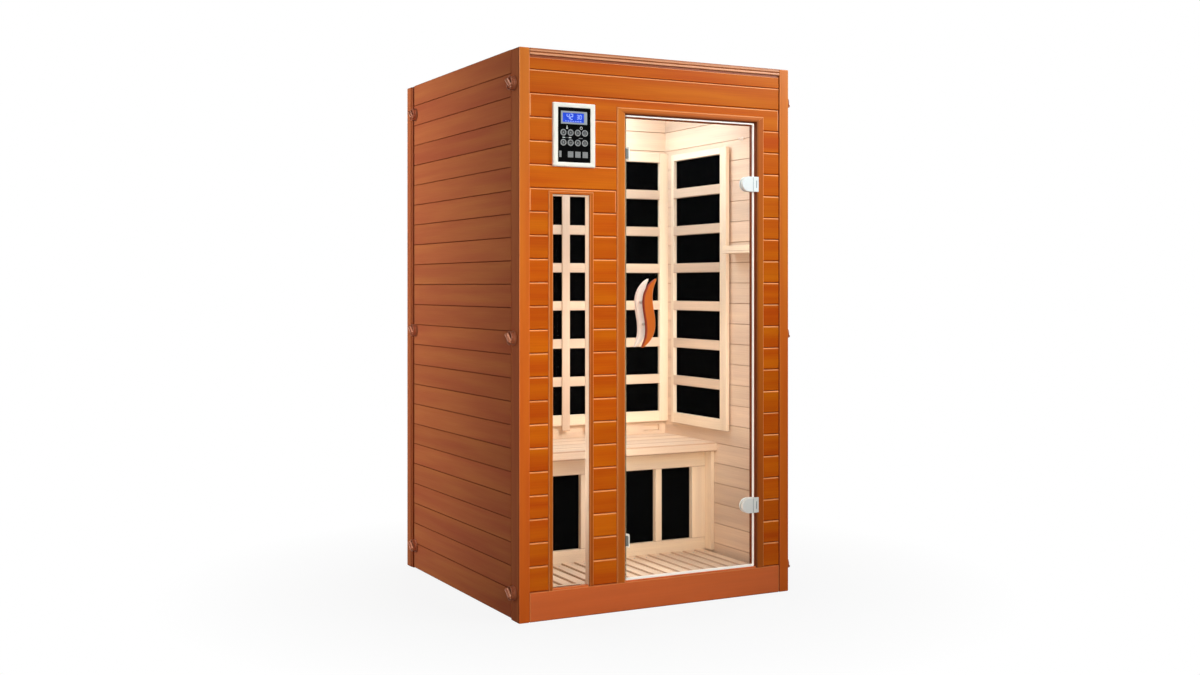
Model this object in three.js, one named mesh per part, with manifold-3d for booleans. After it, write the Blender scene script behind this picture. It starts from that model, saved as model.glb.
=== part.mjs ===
// One-person infrared sauna cabin: boarded panels, glass door, heaters, bench, control panel, twist locks.
// Millimetres, +Z up, the front faces -Y. The origin is on the ground under the middle of the cabin.
import * as THREE from "three";
import { mergeVertices } from "three/addons/utils/BufferGeometryUtils.js";
import Module from "manifold-3d";

// Whole cabin
const CABIN_W = 1075; // over the posts
const CABIN_D = 1090; // over the posts
const CABIN_H = 1900;
const FIT = 0.3; // gap between pieces that seat on each other

// Posts and walls
const POST_W = 40; // seen from the front
const POST_DEEP = 67; // seen from the side
const POST_ROUND = 3;
const SIDE_PANEL_T = 33; // outer panel of a side wall
const LINING_T = 12; // natural boards inside
const STUD_W = 26; // studs that carry the back lining
const STUD_DEEP = 196;
const WALL_LIFT = 6; // the side walls end above the ground
const BOARD_PITCH = 78; // cover width of one board
const FRONT_PITCH = 78.4; // cover width of one front board
const FRONT_TOP_BOARD = 70.5; // cabin top down to the first groove in front
const TOP_BOARD = 80; // cabin top down to the first groove
const LINING_TOP_BOARD = 74; // the inner boards start a little higher
const LOWEST_BOARD = 15; // a narrower strip at the bottom is left on the board above it
const FOOT_BOARD = 60; // the outer walls have no joint this near the ground
const GROOVE_W = 5;
const GROOVE_DEEP = 3;
const REBATE_W = 16; // shadow groove between a side wall and its rear post
const REBATE_DEEP = 10;
const VENT_W = 76; // air slot in the back lining, over the seat
const VENT_H = 24;
const VENT_RISE = 13;
const VENT_INSET = 28; // slot to the side lining

// Roof and floor
const ROOF_T = 36;
const ROOF_DROP = 12; // roof top below the wall tops
const CEILING_PITCH = 82;
const GLAND_R = 14; // power inlet on the roof
const GLAND_H = 9;
const GLAND_INSET = 140;
const LAMP_R = 55;
const LAMP_H = 22;
const FLOOR_T = 56;
const SLAT_W = 40;
const SLAT_GAP = 12.5;
const SLAT_T = 16;
const BATTEN_W = 40;
const BATTEN_T = 8;
const BATTEN_INSET = 30;

// Front wall
const BOARD_SETBACK = 5; // boards behind the post faces
const FRONT_BOARD_T = 42;
const PLINTH_H = 98;
const PLINTH_SETBACK = 2;
const CROWN_H = 34;
const CROWN_BEADS = 3;
const CROWN_PROUD = 4; // crown in front of the boards
const RIGHT_COLUMN_W = 66.5;
const CENTRE_COLUMN_W = 89;
const LEFT_COLUMN_W = 68.5;
const CASING_W = 33; // door frame seen from the front
const CASING_TOP = 23;
const CASING_PROUD = 4; // door and window frames in front of the boards
const CASING_ROUND = 3;
const HEAD_DROP = 177; // cabin top down to the door frame's top
const SILL = 5; // plinth top to the bottom of the openings
const WINDOW_W = 135; // window opening
const WINDOW_CASING = 17;
const WINDOW_CASING_TOP = 11;
const WINDOW_HEAD_DROP = 471; // cabin top down to the window frame's top
const PANE_T = 8;
const PANE_REBATE = 6; // window pane reaches this far into its frame

// Door
const LATCH_GAP = 4; // pane to frame on the latch side
const HINGE_GAP = 10; // pane to frame on the hinge side
const TOP_GAP = 5;
const FOOT_GAP = 4;
const HINGE_INSET = 222; // hinge centre from the door opening's top and bottom
const HINGE_H = 54;
const CLAMP_W = 55;
const CLAMP_FRONT_T = 5.2;
const CLAMP_BACK_T = 3.7;
const CLAMP_WEB = 3; // round the edge of the pane
const BARREL_R = 4.5;
const PIN_R = 2;
const PIN_FIT = 0.4;
const LEAF_REACH = 7; // hinge leaf over the door frame
const CATCH_INSET = 133; // catch centre from the door opening's top and bottom
const CATCH_W = 22;
const CATCH_H = 46;
const CATCH_DEEP = 22;

// Handles
const HANDLE_H = 236;
const HANDLE_W = 39;
const HANDLE_T = 16;
const HANDLE_HOOK = 48; // how far the tips swing out
const HANDLE_SWAY = 21; // how far the middle leans back
const HANDLE_ROUND = 3.5;
const HANDLE_STANDOFF = 16; // finger gap to the glass
const HANDLE_Z = 1019;
const HANDLE_INSET = 75; // handle's centre line from the pane's latch edge
const BOLT_SPAN = 76; // between the two bolts
const BOSS_R = 7;
const BOLT_R = 4;

// Control panel
const PANEL_W = 159;
const PANEL_H = 215;
const PANEL_DROP = 282; // cabin top down to its centre
const PANEL_SHIFT = 9; // its centre to the right of the window's
const PANEL_PROUD = 9;
const PANEL_RIM_SIDE = 18.5;
const PANEL_RIM_END = 15.5;
const PANEL_ROUND = 4;
const FACE_T = 5.6;
const DISPLAY_W = 98;
const DISPLAY_H = 43;
const DISPLAY_DROP = 12; // face's top edge down to the display
const DISPLAY_T = 4;
const KEY_COLUMNS = 4;
const KEY_ROWS = 2;
const KEY_PITCH_X = 26.8;
const KEY_PITCH_Z = 33.5;
const KEY_DROP = 84; // face's top edge down to the first row
const KEY_R = 11;
const KEY_FIT = 0.4;
const KEY_T = 4.6;
const KEY_PROUD = 1.2;
const KEY_CROWN = 0.7;

// Heaters
const HEATER_ROWS = 7;
const HEATER_LOW = 598; // lowest black row above the ground
const ROW_H = 114;
const ROW_BAR = 37.5; // wooden bar between two rows
const GUARD_RAIL_TOP = 26;
const GUARD_RAIL_LOW = 43;
const GUARD_T = 16;
const HEATER_T = 6;
const HEATER_LAP = 12; // heater reaches behind the guard's edges
const SIDE_HEATER_W = 349;
const SIDE_GUARD_REAR = 20; // stile towards the back
const SIDE_GUARD_FRONT = 60; // stile towards the door
const SIDE_HEATER_BACK = 62; // side guard to the back guard
const BACK_RAIL_TOP = 39;
const BACK_INNER_W = 69; // open column between two battens
const BACK_STILE = 40; // at both ends
const BACKREST_W = 35; // three battens between the columns
const BACKREST_SHIFT = 19.5; // the middle batten stands this far right of the middle
const BACKREST_PROUD = 6;
const BACKREST_DROOP = 20; // they end below the guard

// Bench and shelf
const SEAT_TOP = 503;
const SEAT_T = 34;
const SEAT_FRONT = 413; // cabin front to the seat's front edge
const SEAT_ROUND = 6;
const SEAT_BOARD = 100;
const KICK_SETBACK = 66;
const KICK_T = 22;
const KICK_CENTRE_W = 138; // stile in the middle
const KICK_INNER_W = 184; // open panes beside it
const KICK_BAR = 28;
const KICK_OUTER_W = 136;
const KICK_LOW = 125; // black panes above the ground
const KICK_H = 280;
const END_POST_W = 16;
const END_POST_DEEP = 46;
const SHELF_DEEP = 55;
const SHELF_H = 30;
const SHELF_Z = 1235;
const SHELF_WALL = 9;
const SHELF_CLEAR = 12; // shelf to the right heater's guard
const SHELF_FRONT_CLEAR = 51.8; // shelf to the front boards

// Twist locks
const LOCK_R = 24.5;
const LOCK_H = 17;
const LOCK_RIM = 5;
const LOCK_DISH = 5;
const LOCK_BAR_W = 14;
const LOCK_BAR_H = 30;
const LOCK_ROUND = 3;
const LOCK_TILT = 40; // resting angle of the finger bar, degrees
const LOCK_TOP_DROP = 116;
const LOCK_LOW = 95;
const LOCK_FRONT_INSET = 43;
const LOCK_REAR_INSET = 97;

// Facets
const ROUND_STEPS = 16;
const HANDLE_STEPS = 32;

// Planes that the pieces share
const half = CABIN_W / 2;
const frontY = -CABIN_D / 2;
const backY = CABIN_D / 2;
const postIn = half - POST_W;
const postBack = frontY + POST_DEEP;
const rearFront = backY - POST_DEEP;
const liningOut = half - SIDE_PANEL_T - FIT;
const roomX = liningOut - LINING_T;
const wallFront = postBack + FIT;
const wallBack = rearFront - FIT;
const roofTop = CABIN_H - ROOF_DROP;
const roofLow = roofTop - ROOF_T;
const boardFace = frontY + BOARD_SETBACK;
const boardBack = boardFace + FRONT_BOARD_T;
const casingFace = boardFace - CASING_PROUD;
const crownLow = CABIN_H - CROWN_H;
const sillZ = PLINTH_H + SILL;

// Columns of the front, from right to left: the door takes what the others leave
const casingRight = postIn - RIGHT_COLUMN_W;
const doorRight = casingRight - CASING_W;
const windowCasingLeft = -postIn + LEFT_COLUMN_W;
const windowLeft = windowCasingLeft + WINDOW_CASING;
const windowRight = windowLeft + WINDOW_W;
const windowCasingRight = windowRight + WINDOW_CASING;
const casingLeft = windowCasingRight + CENTRE_COLUMN_W;
const doorLeft = casingLeft + CASING_W;
const casingTopZ = CABIN_H - HEAD_DROP;
const doorTop = casingTopZ - CASING_TOP;
const windowCasingTopZ = CABIN_H - WINDOW_HEAD_DROP;
const windowTop = windowCasingTopZ - WINDOW_CASING_TOP;

const wasm = await Module();
wasm.setup();

const cabin = new THREE.Group();
cabin.name = "sauna_cabin";

const stainedWood = new THREE.MeshStandardMaterial({ color: 0xb35a1e, roughness: 0.45 });
const sideWood = new THREE.MeshStandardMaterial({ color: 0x8c4a2a, roughness: 0.5 });
const naturalWood = new THREE.MeshStandardMaterial({ color: 0xe6cba6, roughness: 0.6 });
const heaterBlack = new THREE.MeshStandardMaterial({ color: 0x0a0a0b, roughness: 0.7 });
const clearGlass = new THREE.MeshStandardMaterial({ color: 0xdfeee8, roughness: 0.05 });
clearGlass.transparent = true;
clearGlass.opacity = 0.3;
const satinMetal = new THREE.MeshStandardMaterial({ color: 0xd8dadc, roughness: 0.3, metalness: 0.9 });
const lockBronze = new THREE.MeshStandardMaterial({ color: 0xa8603c, roughness: 0.35, metalness: 0.4 });
const creamPlastic = new THREE.MeshStandardMaterial({ color: 0xefe6d6, roughness: 0.5 });
const blackFace = new THREE.MeshStandardMaterial({ color: 0x08080a, roughness: 0.2 });
const blueDisplay = new THREE.MeshStandardMaterial({ color: 0x1433d8, roughness: 0.2, emissive: 0x0a1c80 });
const keySilver = new THREE.MeshStandardMaterial({ color: 0x8c8f94, roughness: 0.4, metalness: 0.3 });
const lampWhite = new THREE.MeshStandardMaterial({ color: 0xfff3dc, roughness: 0.4, emissive: 0x806a40 });

function add(name, geometry, material) {
  const mesh = new THREE.Mesh(geometry, material);
  mesh.name = name;
  cabin.add(mesh);
  return mesh;
}

// A box between two corners.
function block(x0, x1, y0, y1, z0, z1) {
  const box = new THREE.BoxGeometry(x1 - x0, y1 - y0, z1 - z0);
  return box.translate((x0 + x1) / 2, (y0 + y1) / 2, (z0 + z1) / 2);
}

const X = new THREE.Vector3(1, 0, 0);
const Y = new THREE.Vector3(0, 1, 0);
const Z = new THREE.Vector3(0, 0, 1);

// A profile drawn in (y, z), run along X.
function alongX(shape, x0, x1) {
  const run = new THREE.ExtrudeGeometry(shape, { depth: x1 - x0, bevelEnabled: false, curveSegments: 4 });
  return run.applyMatrix4(new THREE.Matrix4().makeBasis(Y, Z, X)).translate(x0, 0, 0);
}

// A profile drawn in (x, z), run along Y. With round, its front and back edges are rounded inwards.
function alongY(shape, y0, y1, round = 0) {
  const options = {
    depth: y1 - y0 - 2 * round,
    bevelEnabled: round > 0,
    bevelThickness: round,
    bevelSize: round,
    bevelOffset: -round,
    bevelSegments: 2,
    curveSegments: ROUND_STEPS / 4,
  };
  const run = new THREE.ExtrudeGeometry(shape, options);
  const turn = new THREE.Matrix4().makeBasis(X, Z, Y.clone().negate());
  return run.applyMatrix4(turn).translate(0, y1 - round, 0);
}

// A profile drawn in (x, y), run up Z.
function alongZ(shape, z0, z1) {
  const run = new THREE.ExtrudeGeometry(shape, { depth: z1 - z0, bevelEnabled: false, curveSegments: 3 });
  return run.translate(0, 0, z0);
}

// A solid of revolution about Y through the origin, from (radius, y) points.
function roundY(points, steps = ROUND_STEPS) {
  return new THREE.LatheGeometry(points.map(([r, y]) => new THREE.Vector2(r, y)), steps);
}

// A round bar along Y between two depths.
function bar(radius, x, z, y0, y1) {
  return roundY([
    [0, y0],
    [radius, y0],
    [radius, y1],
    [0, y1],
  ]).translate(x, 0, z);
}

function roundedRectangle(x0, x1, z0, z1, radius) {
  const outline = new THREE.Shape();
  outline.moveTo(x0 + radius, z0).lineTo(x1 - radius, z0);
  outline.absarc(x1 - radius, z0 + radius, radius, -Math.PI / 2, 0);
  outline.lineTo(x1, z1 - radius).absarc(x1 - radius, z1 - radius, radius, 0, Math.PI / 2);
  outline.lineTo(x0 + radius, z1).absarc(x0 + radius, z1 - radius, radius, Math.PI / 2, Math.PI);
  outline.lineTo(x0, z0 + radius).absarc(x0 + radius, z0 + radius, radius, Math.PI, 1.5 * Math.PI);
  return outline;
}

// Joins and cuts, on closed geometries.
function solidOf(geometry) {
  const bare = new THREE.BufferGeometry().setAttribute("position", geometry.getAttribute("position"));
  if (geometry.index) bare.setIndex(geometry.index);
  const merged = mergeVertices(bare, 1e-3);
  const vertProperties = new Float32Array(merged.attributes.position.array);
  const corners = [];
  for (let i = 0; i < merged.index.count; i += 3) {
    const [a, b, c] = merged.index.array.slice(i, i + 3);
    if (a !== b && b !== c && c !== a) corners.push(a, b, c);
  }
  const triVerts = new Uint32Array(corners);
  return new wasm.Manifold(new wasm.Mesh({ numProp: 3, vertProperties, triVerts }));
}

function geometryOf(solid) {
  const mesh = solid.getMesh();
  const geometry = new THREE.BufferGeometry();
  geometry.setAttribute("position", new THREE.BufferAttribute(mesh.vertProperties, 3));
  geometry.setIndex(new THREE.BufferAttribute(mesh.triVerts, 1));
  return geometry;
}

function join(first, ...others) {
  return geometryOf(others.reduce((whole, one) => whole.add(solidOf(one)), solidOf(first)));
}

function cut(first, ...others) {
  return geometryOf(others.reduce((whole, one) => whole.subtract(solidOf(one)), solidOf(first)));
}

// Heights of the board joints between two heights, counted down from the cabin's top.
function boardJoints(low, high, topBoard, pitch = BOARD_PITCH) {
  const joints = [];
  for (let z = CABIN_H - topBoard; z > low + LOWEST_BOARD; z -= pitch) {
    if (z < high - GROOVE_W) joints.push(z);
  }
  return joints;
}

// Section of tongue-and-groove boards with a V at each joint. The V is cut into the face side.
function boardSection(face, back, low, high, joints) {
  const inwards = Math.sign(back - face) * GROOVE_DEEP;
  const section = new THREE.Shape();
  section.moveTo(back, low).lineTo(face, low);
  for (const z of [...joints].reverse()) {
    section.lineTo(face, z - GROOVE_W / 2).lineTo(face + inwards, z).lineTo(face, z + GROOVE_W / 2);
  }
  section.lineTo(face, high).lineTo(back, high).closePath();
  return section;
}

// Floor: a base panel and a grid of slats that run from the door to the bench
const floorTop = FLOOR_T;
add("floor_base", block(-roomX + FIT, roomX - FIT, wallFront, wallBack, 0, floorTop), naturalWood);

const kickFace = frontY + SEAT_FRONT + KICK_SETBACK;
const gridLow = floorTop + FIT;
const slatLow = gridLow + BATTEN_T;
const slatTop = slatLow + SLAT_T;
const gridHalf = roomX - 2 * FIT;
const gridFront = wallFront + FIT;
const gridBack = kickFace - FIT;
const slatPitch = SLAT_W + SLAT_GAP;
const slatCount = Math.floor((2 * gridHalf + SLAT_GAP) / slatPitch);
const slatStart = (-slatCount * slatPitch + SLAT_GAP) / 2;
const gridPieces = [];
for (let i = 0; i < slatCount; i += 1) {
  const left = slatStart + i * slatPitch;
  gridPieces.push(block(left, left + SLAT_W, gridFront, gridBack, slatLow - FIT, slatTop));
}
for (const front of [gridFront + BATTEN_INSET, gridBack - BATTEN_INSET - BATTEN_W]) {
  gridPieces.push(block(slatStart, -slatStart, front, front + BATTEN_W, gridLow, slatLow));
}
add("floor_slats", join(...gridPieces), naturalWood);

// Side walls: an outer panel of stained boards with a shadow groove at the rear, and a natural lining
for (const [side, sign] of [["left", -1], ["right", 1]]) {
  const outer = boardSection(
    sign * half,
    sign * (liningOut + FIT),
    WALL_LIFT,
    CABIN_H,
    boardJoints(FOOT_BOARD, CABIN_H, TOP_BOARD),
  );
  const rebateX = [sign * (half - REBATE_DEEP), sign * (half + 1)].sort((a, b) => a - b);
  const rebate = block(...rebateX, wallBack - REBATE_W, wallBack + 1, 0, CABIN_H + 1);
  add(side + "_wall_panel", cut(alongY(outer, wallFront, wallBack), rebate), sideWood);
  const liningTop = roofLow - FIT;
  const inner = boardSection(
    sign * roomX,
    sign * liningOut,
    WALL_LIFT,
    liningTop,
    boardJoints(WALL_LIFT, liningTop, LINING_TOP_BOARD),
  );
  add(side + "_wall_lining", alongY(inner, wallFront, wallBack), naturalWood);
}

// Back wall: stained boards between two rear posts, and a lining held off it by studs
const backFace = backY - BOARD_SETBACK;
const backBoards = boardSection(
  backFace,
  rearFront,
  WALL_LIFT,
  CABIN_H,
  boardJoints(FOOT_BOARD, CABIN_H, TOP_BOARD),
);
function postSection(left, right, front, back) {
  return roundedRectangle(left, right, front, back, POST_ROUND);
}
const rearPosts = [
  [-half, -postIn],
  [postIn, half],
].map(([left, right]) => alongZ(postSection(left, right, rearFront, backY), 0, CABIN_H));
const backPanel = alongX(backBoards, -postIn - POST_ROUND, postIn + POST_ROUND);
add("back_wall_panel", join(backPanel, ...rearPosts), sideWood);

const studBack = wallBack - FIT;
const liningBack = studBack - STUD_DEEP;
const liningFace = liningBack - LINING_T;
const backLiningTop = roofLow - FIT;
const backLiningLow = floorTop + FIT;
const backLiningBoards = boardSection(
  liningFace,
  liningBack,
  backLiningLow,
  backLiningTop,
  boardJoints(backLiningLow, backLiningTop, LINING_TOP_BOARD),
);
const backLiningHalf = roomX - FIT;
const studs = [-backLiningHalf, -STUD_W / 2, backLiningHalf - STUD_W].map((left) =>
  block(left, left + STUD_W, liningBack - 1, studBack, backLiningLow, backLiningTop),
);
const ventRight = backLiningHalf - VENT_INSET;
const ventLow = SEAT_TOP + VENT_RISE;
const vent = block(ventRight - VENT_W, ventRight, liningFace - 1, studBack + 1, ventLow, ventLow + VENT_H);
const backLining = join(alongX(backLiningBoards, -backLiningHalf, backLiningHalf), ...studs);
add("back_wall_lining", cut(backLining, vent), naturalWood);

// Front posts, from the ground to the cabin's top
for (const [side, left, right] of [["left", -half, -postIn], ["right", postIn, half]]) {
  add("front_post_" + side, alongZ(postSection(left, right, frontY, postBack), 0, CABIN_H), stainedWood);
}

// Roof panel that rests on the linings, with ceiling boards below and the power inlet's gland on top
const roofHalf = liningOut;
const ceiling = new THREE.Shape();
ceiling.moveTo(-roofHalf, roofTop).lineTo(-roofHalf, roofLow);
const ceilingBoards = Math.floor((2 * roomX) / CEILING_PITCH);
for (let i = 1; i < ceilingBoards; i += 1) {
  const x = (i - ceilingBoards / 2) * CEILING_PITCH;
  ceiling.lineTo(x - GROOVE_W / 2, roofLow);
  ceiling.lineTo(x, roofLow + GROOVE_DEEP);
  ceiling.lineTo(x + GROOVE_W / 2, roofLow);
}
ceiling.lineTo(roofHalf, roofLow).lineTo(roofHalf, roofTop).closePath();
const gland = roundY([
  [0, -1],
  [GLAND_R, -1],
  [GLAND_R, GLAND_H / 2],
  [GLAND_R * 0.7, GLAND_H],
  [0, GLAND_H],
]);
gland.rotateX(Math.PI / 2).translate(0, wallBack - GLAND_INSET, roofTop);
add("roof_panel", join(alongY(ceiling, wallFront, wallBack), gland), naturalWood);

// Ceiling lamp: a shallow dish under the middle of the roof
const lamp = roundY([
  [0, 0],
  [LAMP_R, 0],
  [LAMP_R, LAMP_H * 0.4],
  [LAMP_R * 0.75, LAMP_H],
  [0, LAMP_H],
]);
lamp.rotateX(-Math.PI / 2).translate(0, 0, roofLow - FIT);
add("ceiling_lamp", lamp, lampWhite);

// Front wall boards: header over everything, and the boards beside the door, with the window cut out
const frontLow = PLINTH_H + FIT;
const boardEnd = postIn - FIT;
function frontBoards(x0, x1, low, high, back) {
  const joints = boardJoints(low, high, FRONT_TOP_BOARD, FRONT_PITCH);
  const section = boardSection(boardFace, back, low, high, joints);
  return alongX(section, x0, x1);
}
const header = frontBoards(-boardEnd, boardEnd, casingTopZ + FIT, crownLow - FIT, postBack);
add("front_header_boards", header, stainedWood);
const windowHole = block(
  windowCasingLeft - FIT,
  windowCasingRight + FIT,
  boardFace - 1,
  boardBack + 1,
  0,
  windowCasingTopZ + FIT,
);
const leftBoards = frontBoards(-boardEnd, casingLeft - FIT, frontLow, casingTopZ, boardBack);
add("front_left_boards", cut(leftBoards, windowHole), stainedWood);
const rightBoards = frontBoards(casingRight + FIT, boardEnd, frontLow, casingTopZ, boardBack);
add("front_right_boards", rightBoards, stainedWood);

// Crown moulding: half-round beads between the posts
const crownFace = boardFace - CROWN_PROUD;
const beadH = CROWN_H / CROWN_BEADS;
const crown = new THREE.Shape();
crown.moveTo(postBack, crownLow).lineTo(boardFace, crownLow);
for (let i = 0; i < CROWN_BEADS; i += 1) {
  const low = crownLow + i * beadH;
  crown.quadraticCurveTo(2 * crownFace - boardFace, low + beadH / 2, boardFace, low + beadH);
}
crown.lineTo(postBack, CABIN_H).closePath();
add("crown_moulding", alongX(crown, -boardEnd, boardEnd), stainedWood);

// Plinth under the door and the window
const plinth = roundedRectangle(frontY + PLINTH_SETBACK, postBack, 0, PLINTH_H, POST_ROUND);
const sills = [
  [doorLeft + FIT, doorRight - FIT],
  [windowLeft + FIT, windowRight - FIT],
].map(([left, right]) => block(left, right, boardFace, boardBack, PLINTH_H - 1, sillZ));
add("front_plinth", join(alongX(plinth, -boardEnd, boardEnd), ...sills), stainedWood);

// A frame of two legs and a head, standing on the plinth
function portal(left, right, top, leg, head) {
  const outline = new THREE.Shape();
  outline.moveTo(left - leg, frontLow).lineTo(left, frontLow).lineTo(left, top).lineTo(right, top);
  outline.lineTo(right, frontLow).lineTo(right + leg, frontLow);
  outline.lineTo(right + leg, top + head).lineTo(left - leg, top + head).closePath();
  return outline;
}

// Door frame, with two catch blocks behind the pane's latch edge
const paneFace = casingFace + CASING_ROUND;
const paneBack = paneFace + PANE_T;
const catchFace = paneBack + FIT;
const catches = [doorTop - CATCH_INSET, sillZ + CATCH_INSET].map((z) => {
  const low = z - CATCH_H / 2;
  return block(doorLeft - 1, doorLeft + CATCH_W, catchFace, catchFace + CATCH_DEEP, low, low + CATCH_H);
});
const doorPortal = portal(doorLeft, doorRight, doorTop, CASING_W, CASING_TOP);
add("door_frame", join(alongY(doorPortal, casingFace, boardBack, CASING_ROUND), ...catches), stainedWood);

// Window frame with a rebate for the fixed pane
const windowPortal = portal(windowLeft, windowRight, windowTop, WINDOW_CASING, WINDOW_CASING_TOP);
const windowFrame = alongY(windowPortal, casingFace, boardBack, CASING_ROUND);
const paneY = (boardFace + boardBack - PANE_T) / 2;
const paneSeat = block(
  windowLeft - PANE_REBATE - FIT,
  windowRight + PANE_REBATE + FIT,
  paneY - FIT,
  paneY + PANE_T + FIT,
  0,
  windowTop + PANE_REBATE + FIT,
);
add("window_frame", cut(windowFrame, paneSeat), stainedWood);
const windowPane = block(
  windowLeft - PANE_REBATE,
  windowRight + PANE_REBATE,
  paneY,
  paneY + PANE_T,
  sillZ + FIT,
  windowTop + PANE_REBATE,
);
add("window_glass", windowPane, clearGlass);

// Door pane, with two holes for the handle bolts
const paneLeft = doorLeft + LATCH_GAP;
const paneRight = doorRight - HINGE_GAP;
const paneLow = sillZ + FOOT_GAP;
const paneTop = doorTop - TOP_GAP;
const handleX = paneLeft + HANDLE_INSET;
const handleLean = (z) => HANDLE_HOOK * z ** 3 - HANDLE_SWAY * z;
const boltSpots = [-1, 1].map((end) => {
  const up = (end * BOLT_SPAN) / HANDLE_H;
  return [handleX + handleLean(up), HANDLE_Z + (end * BOLT_SPAN) / 2];
});
const pane = block(paneLeft, paneRight, paneFace, paneBack, paneLow, paneTop);
const boltHoles = boltSpots.map(([x, z]) => bar(BOLT_R + 1, x, z, paneFace - 1, paneBack + 1));
add("door_glass", cut(pane, ...boltHoles), clearGlass);

// Wave handles on both faces of the pane: a round-edged disc, drawn out to an oval whose tips swing out
function waveSlab(y0, y1) {
  const edge = 1 - (2 * HANDLE_ROUND) / HANDLE_W;
  const profile = [
    [0, y0],
    [edge / 2, y0],
    [edge, y0],
    [1, y0 + HANDLE_ROUND],
    [1, y1 - HANDLE_ROUND],
    [edge, y1],
    [edge / 2, y1],
    [0, y1],
  ];
  const slab = roundY(profile, HANDLE_STEPS);
  const spots = slab.getAttribute("position");
  for (let i = 0; i < spots.count; i += 1) {
    const up = spots.getZ(i);
    spots.setX(i, handleX + handleLean(up) + (spots.getX(i) * HANDLE_W) / 2);
    spots.setZ(i, HANDLE_Z + (up * HANDLE_H) / 2);
  }
  return slab;
}
const gripFront = paneFace - FIT - HANDLE_STANDOFF;
const gripBack = paneBack + FIT + HANDLE_STANDOFF;
const outerGrip = waveSlab(gripFront - HANDLE_T, gripFront);
const innerGrip = waveSlab(gripBack, gripBack + HANDLE_T);
const outerBosses = boltSpots.map(([x, z]) => bar(BOSS_R, x, z, gripFront - 1, paneFace - FIT));
const bolts = boltSpots.map(([x, z]) => bar(BOLT_R, x, z, gripFront - 1, paneBack));
const innerBosses = boltSpots.map(([x, z]) => bar(BOSS_R, x, z, paneBack + FIT, gripBack + 1));
add("outer_handle", join(outerGrip, ...outerBosses, ...bolts), stainedWood);
add("inner_handle", join(innerGrip, ...innerBosses), naturalWood);

// Hinges: a clamp on the pane turns on a pin that the frame's leaf holds above and below it
const pinX = paneRight + BARREL_R;
const pinY = casingFace - FIT - BARREL_R;
function barrel(radius, z0, z1) {
  const drum = new THREE.CylinderGeometry(radius, radius, z1 - z0, ROUND_STEPS);
  return drum.rotateX(Math.PI / 2).translate(pinX, pinY, (z0 + z1) / 2);
}
for (const [level, z] of [["upper", doorTop - HINGE_INSET], ["lower", sillZ + HINGE_INSET]]) {
  const low = z - HINGE_H / 2;
  const high = z + HINGE_H / 2;
  const knuckle = HINGE_H / 4;
  const dee = new THREE.Shape();
  const deeRight = paneRight + FIT;
  const deeLeft = paneRight - CLAMP_W;
  dee.moveTo(deeRight + CLAMP_WEB, low).lineTo(deeRight + CLAMP_WEB, high);
  dee.absarc(deeLeft + HINGE_H / 2, z, HINGE_H / 2, Math.PI / 2, 1.5 * Math.PI);
  dee.closePath();
  const clampFront = paneFace - FIT - CLAMP_FRONT_T;
  const clampBack = paneBack + FIT + CLAMP_BACK_T;
  const gripped = block(deeLeft - 1, deeRight, paneFace - FIT, paneBack + FIT, low - 1, high + 1);
  const cheeks = cut(alongY(dee, clampFront, clampBack), gripped);
  const leafSpaces = [
    [low - 1, z - knuckle],
    [z + knuckle, high + 1],
  ].map(([z0, z1]) => block(pinX - BARREL_R - FIT, doorRight, pinY - BARREL_R, casingFace, z0, z1));
  const turning = barrel(BARREL_R, z - knuckle + FIT, z + knuckle - FIT);
  const clamp = cut(join(cut(cheeks, ...leafSpaces), turning), barrel(PIN_R + PIN_FIT, low - 1, high + 1));
  add("hinge_" + level + "_clamp", clamp, satinMetal);
  const leafPlates = [
    [low, z - knuckle],
    [z + knuckle, high],
  ].map(([z0, z1]) => block(pinX, doorRight + LEAF_REACH, pinY, casingFace - FIT, z0, z1));
  const spine = block(doorRight, doorRight + LEAF_REACH, pinY, casingFace - FIT, low, high);
  const ends = [barrel(BARREL_R, low, z - knuckle), barrel(BARREL_R, z + knuckle, high)];
  add("hinge_" + level + "_leaf", join(spine, ...leafPlates, ...ends, barrel(PIN_R, low, high)), satinMetal);
}

// Control panel: a rim planted on the boards, a black face in it, a display and two rows of keys
const panelX = (windowLeft + windowRight) / 2 + PANEL_SHIFT;
const panelZ = CABIN_H - PANEL_DROP;
const panelBack = boardFace - FIT;
const faceHalfW = PANEL_W / 2 - PANEL_RIM_SIDE;
const faceHalfH = PANEL_H / 2 - PANEL_RIM_END;
const rim = roundedRectangle(
  panelX - PANEL_W / 2,
  panelX + PANEL_W / 2,
  panelZ - PANEL_H / 2,
  panelZ + PANEL_H / 2,
  PANEL_ROUND,
);
const panelFront = panelBack - PANEL_PROUD;
const rimLeft = panelX - faceHalfW;
const rimRight = panelX + faceHalfW;
const rimLow = panelZ - faceHalfH;
const rimHigh = panelZ + faceHalfH;
const rimHole = block(rimLeft, rimRight, panelFront - 1, panelBack + 1, rimLow, rimHigh);
add("control_frame", cut(alongY(rim, panelFront, panelBack), rimHole), creamPlastic);

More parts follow.
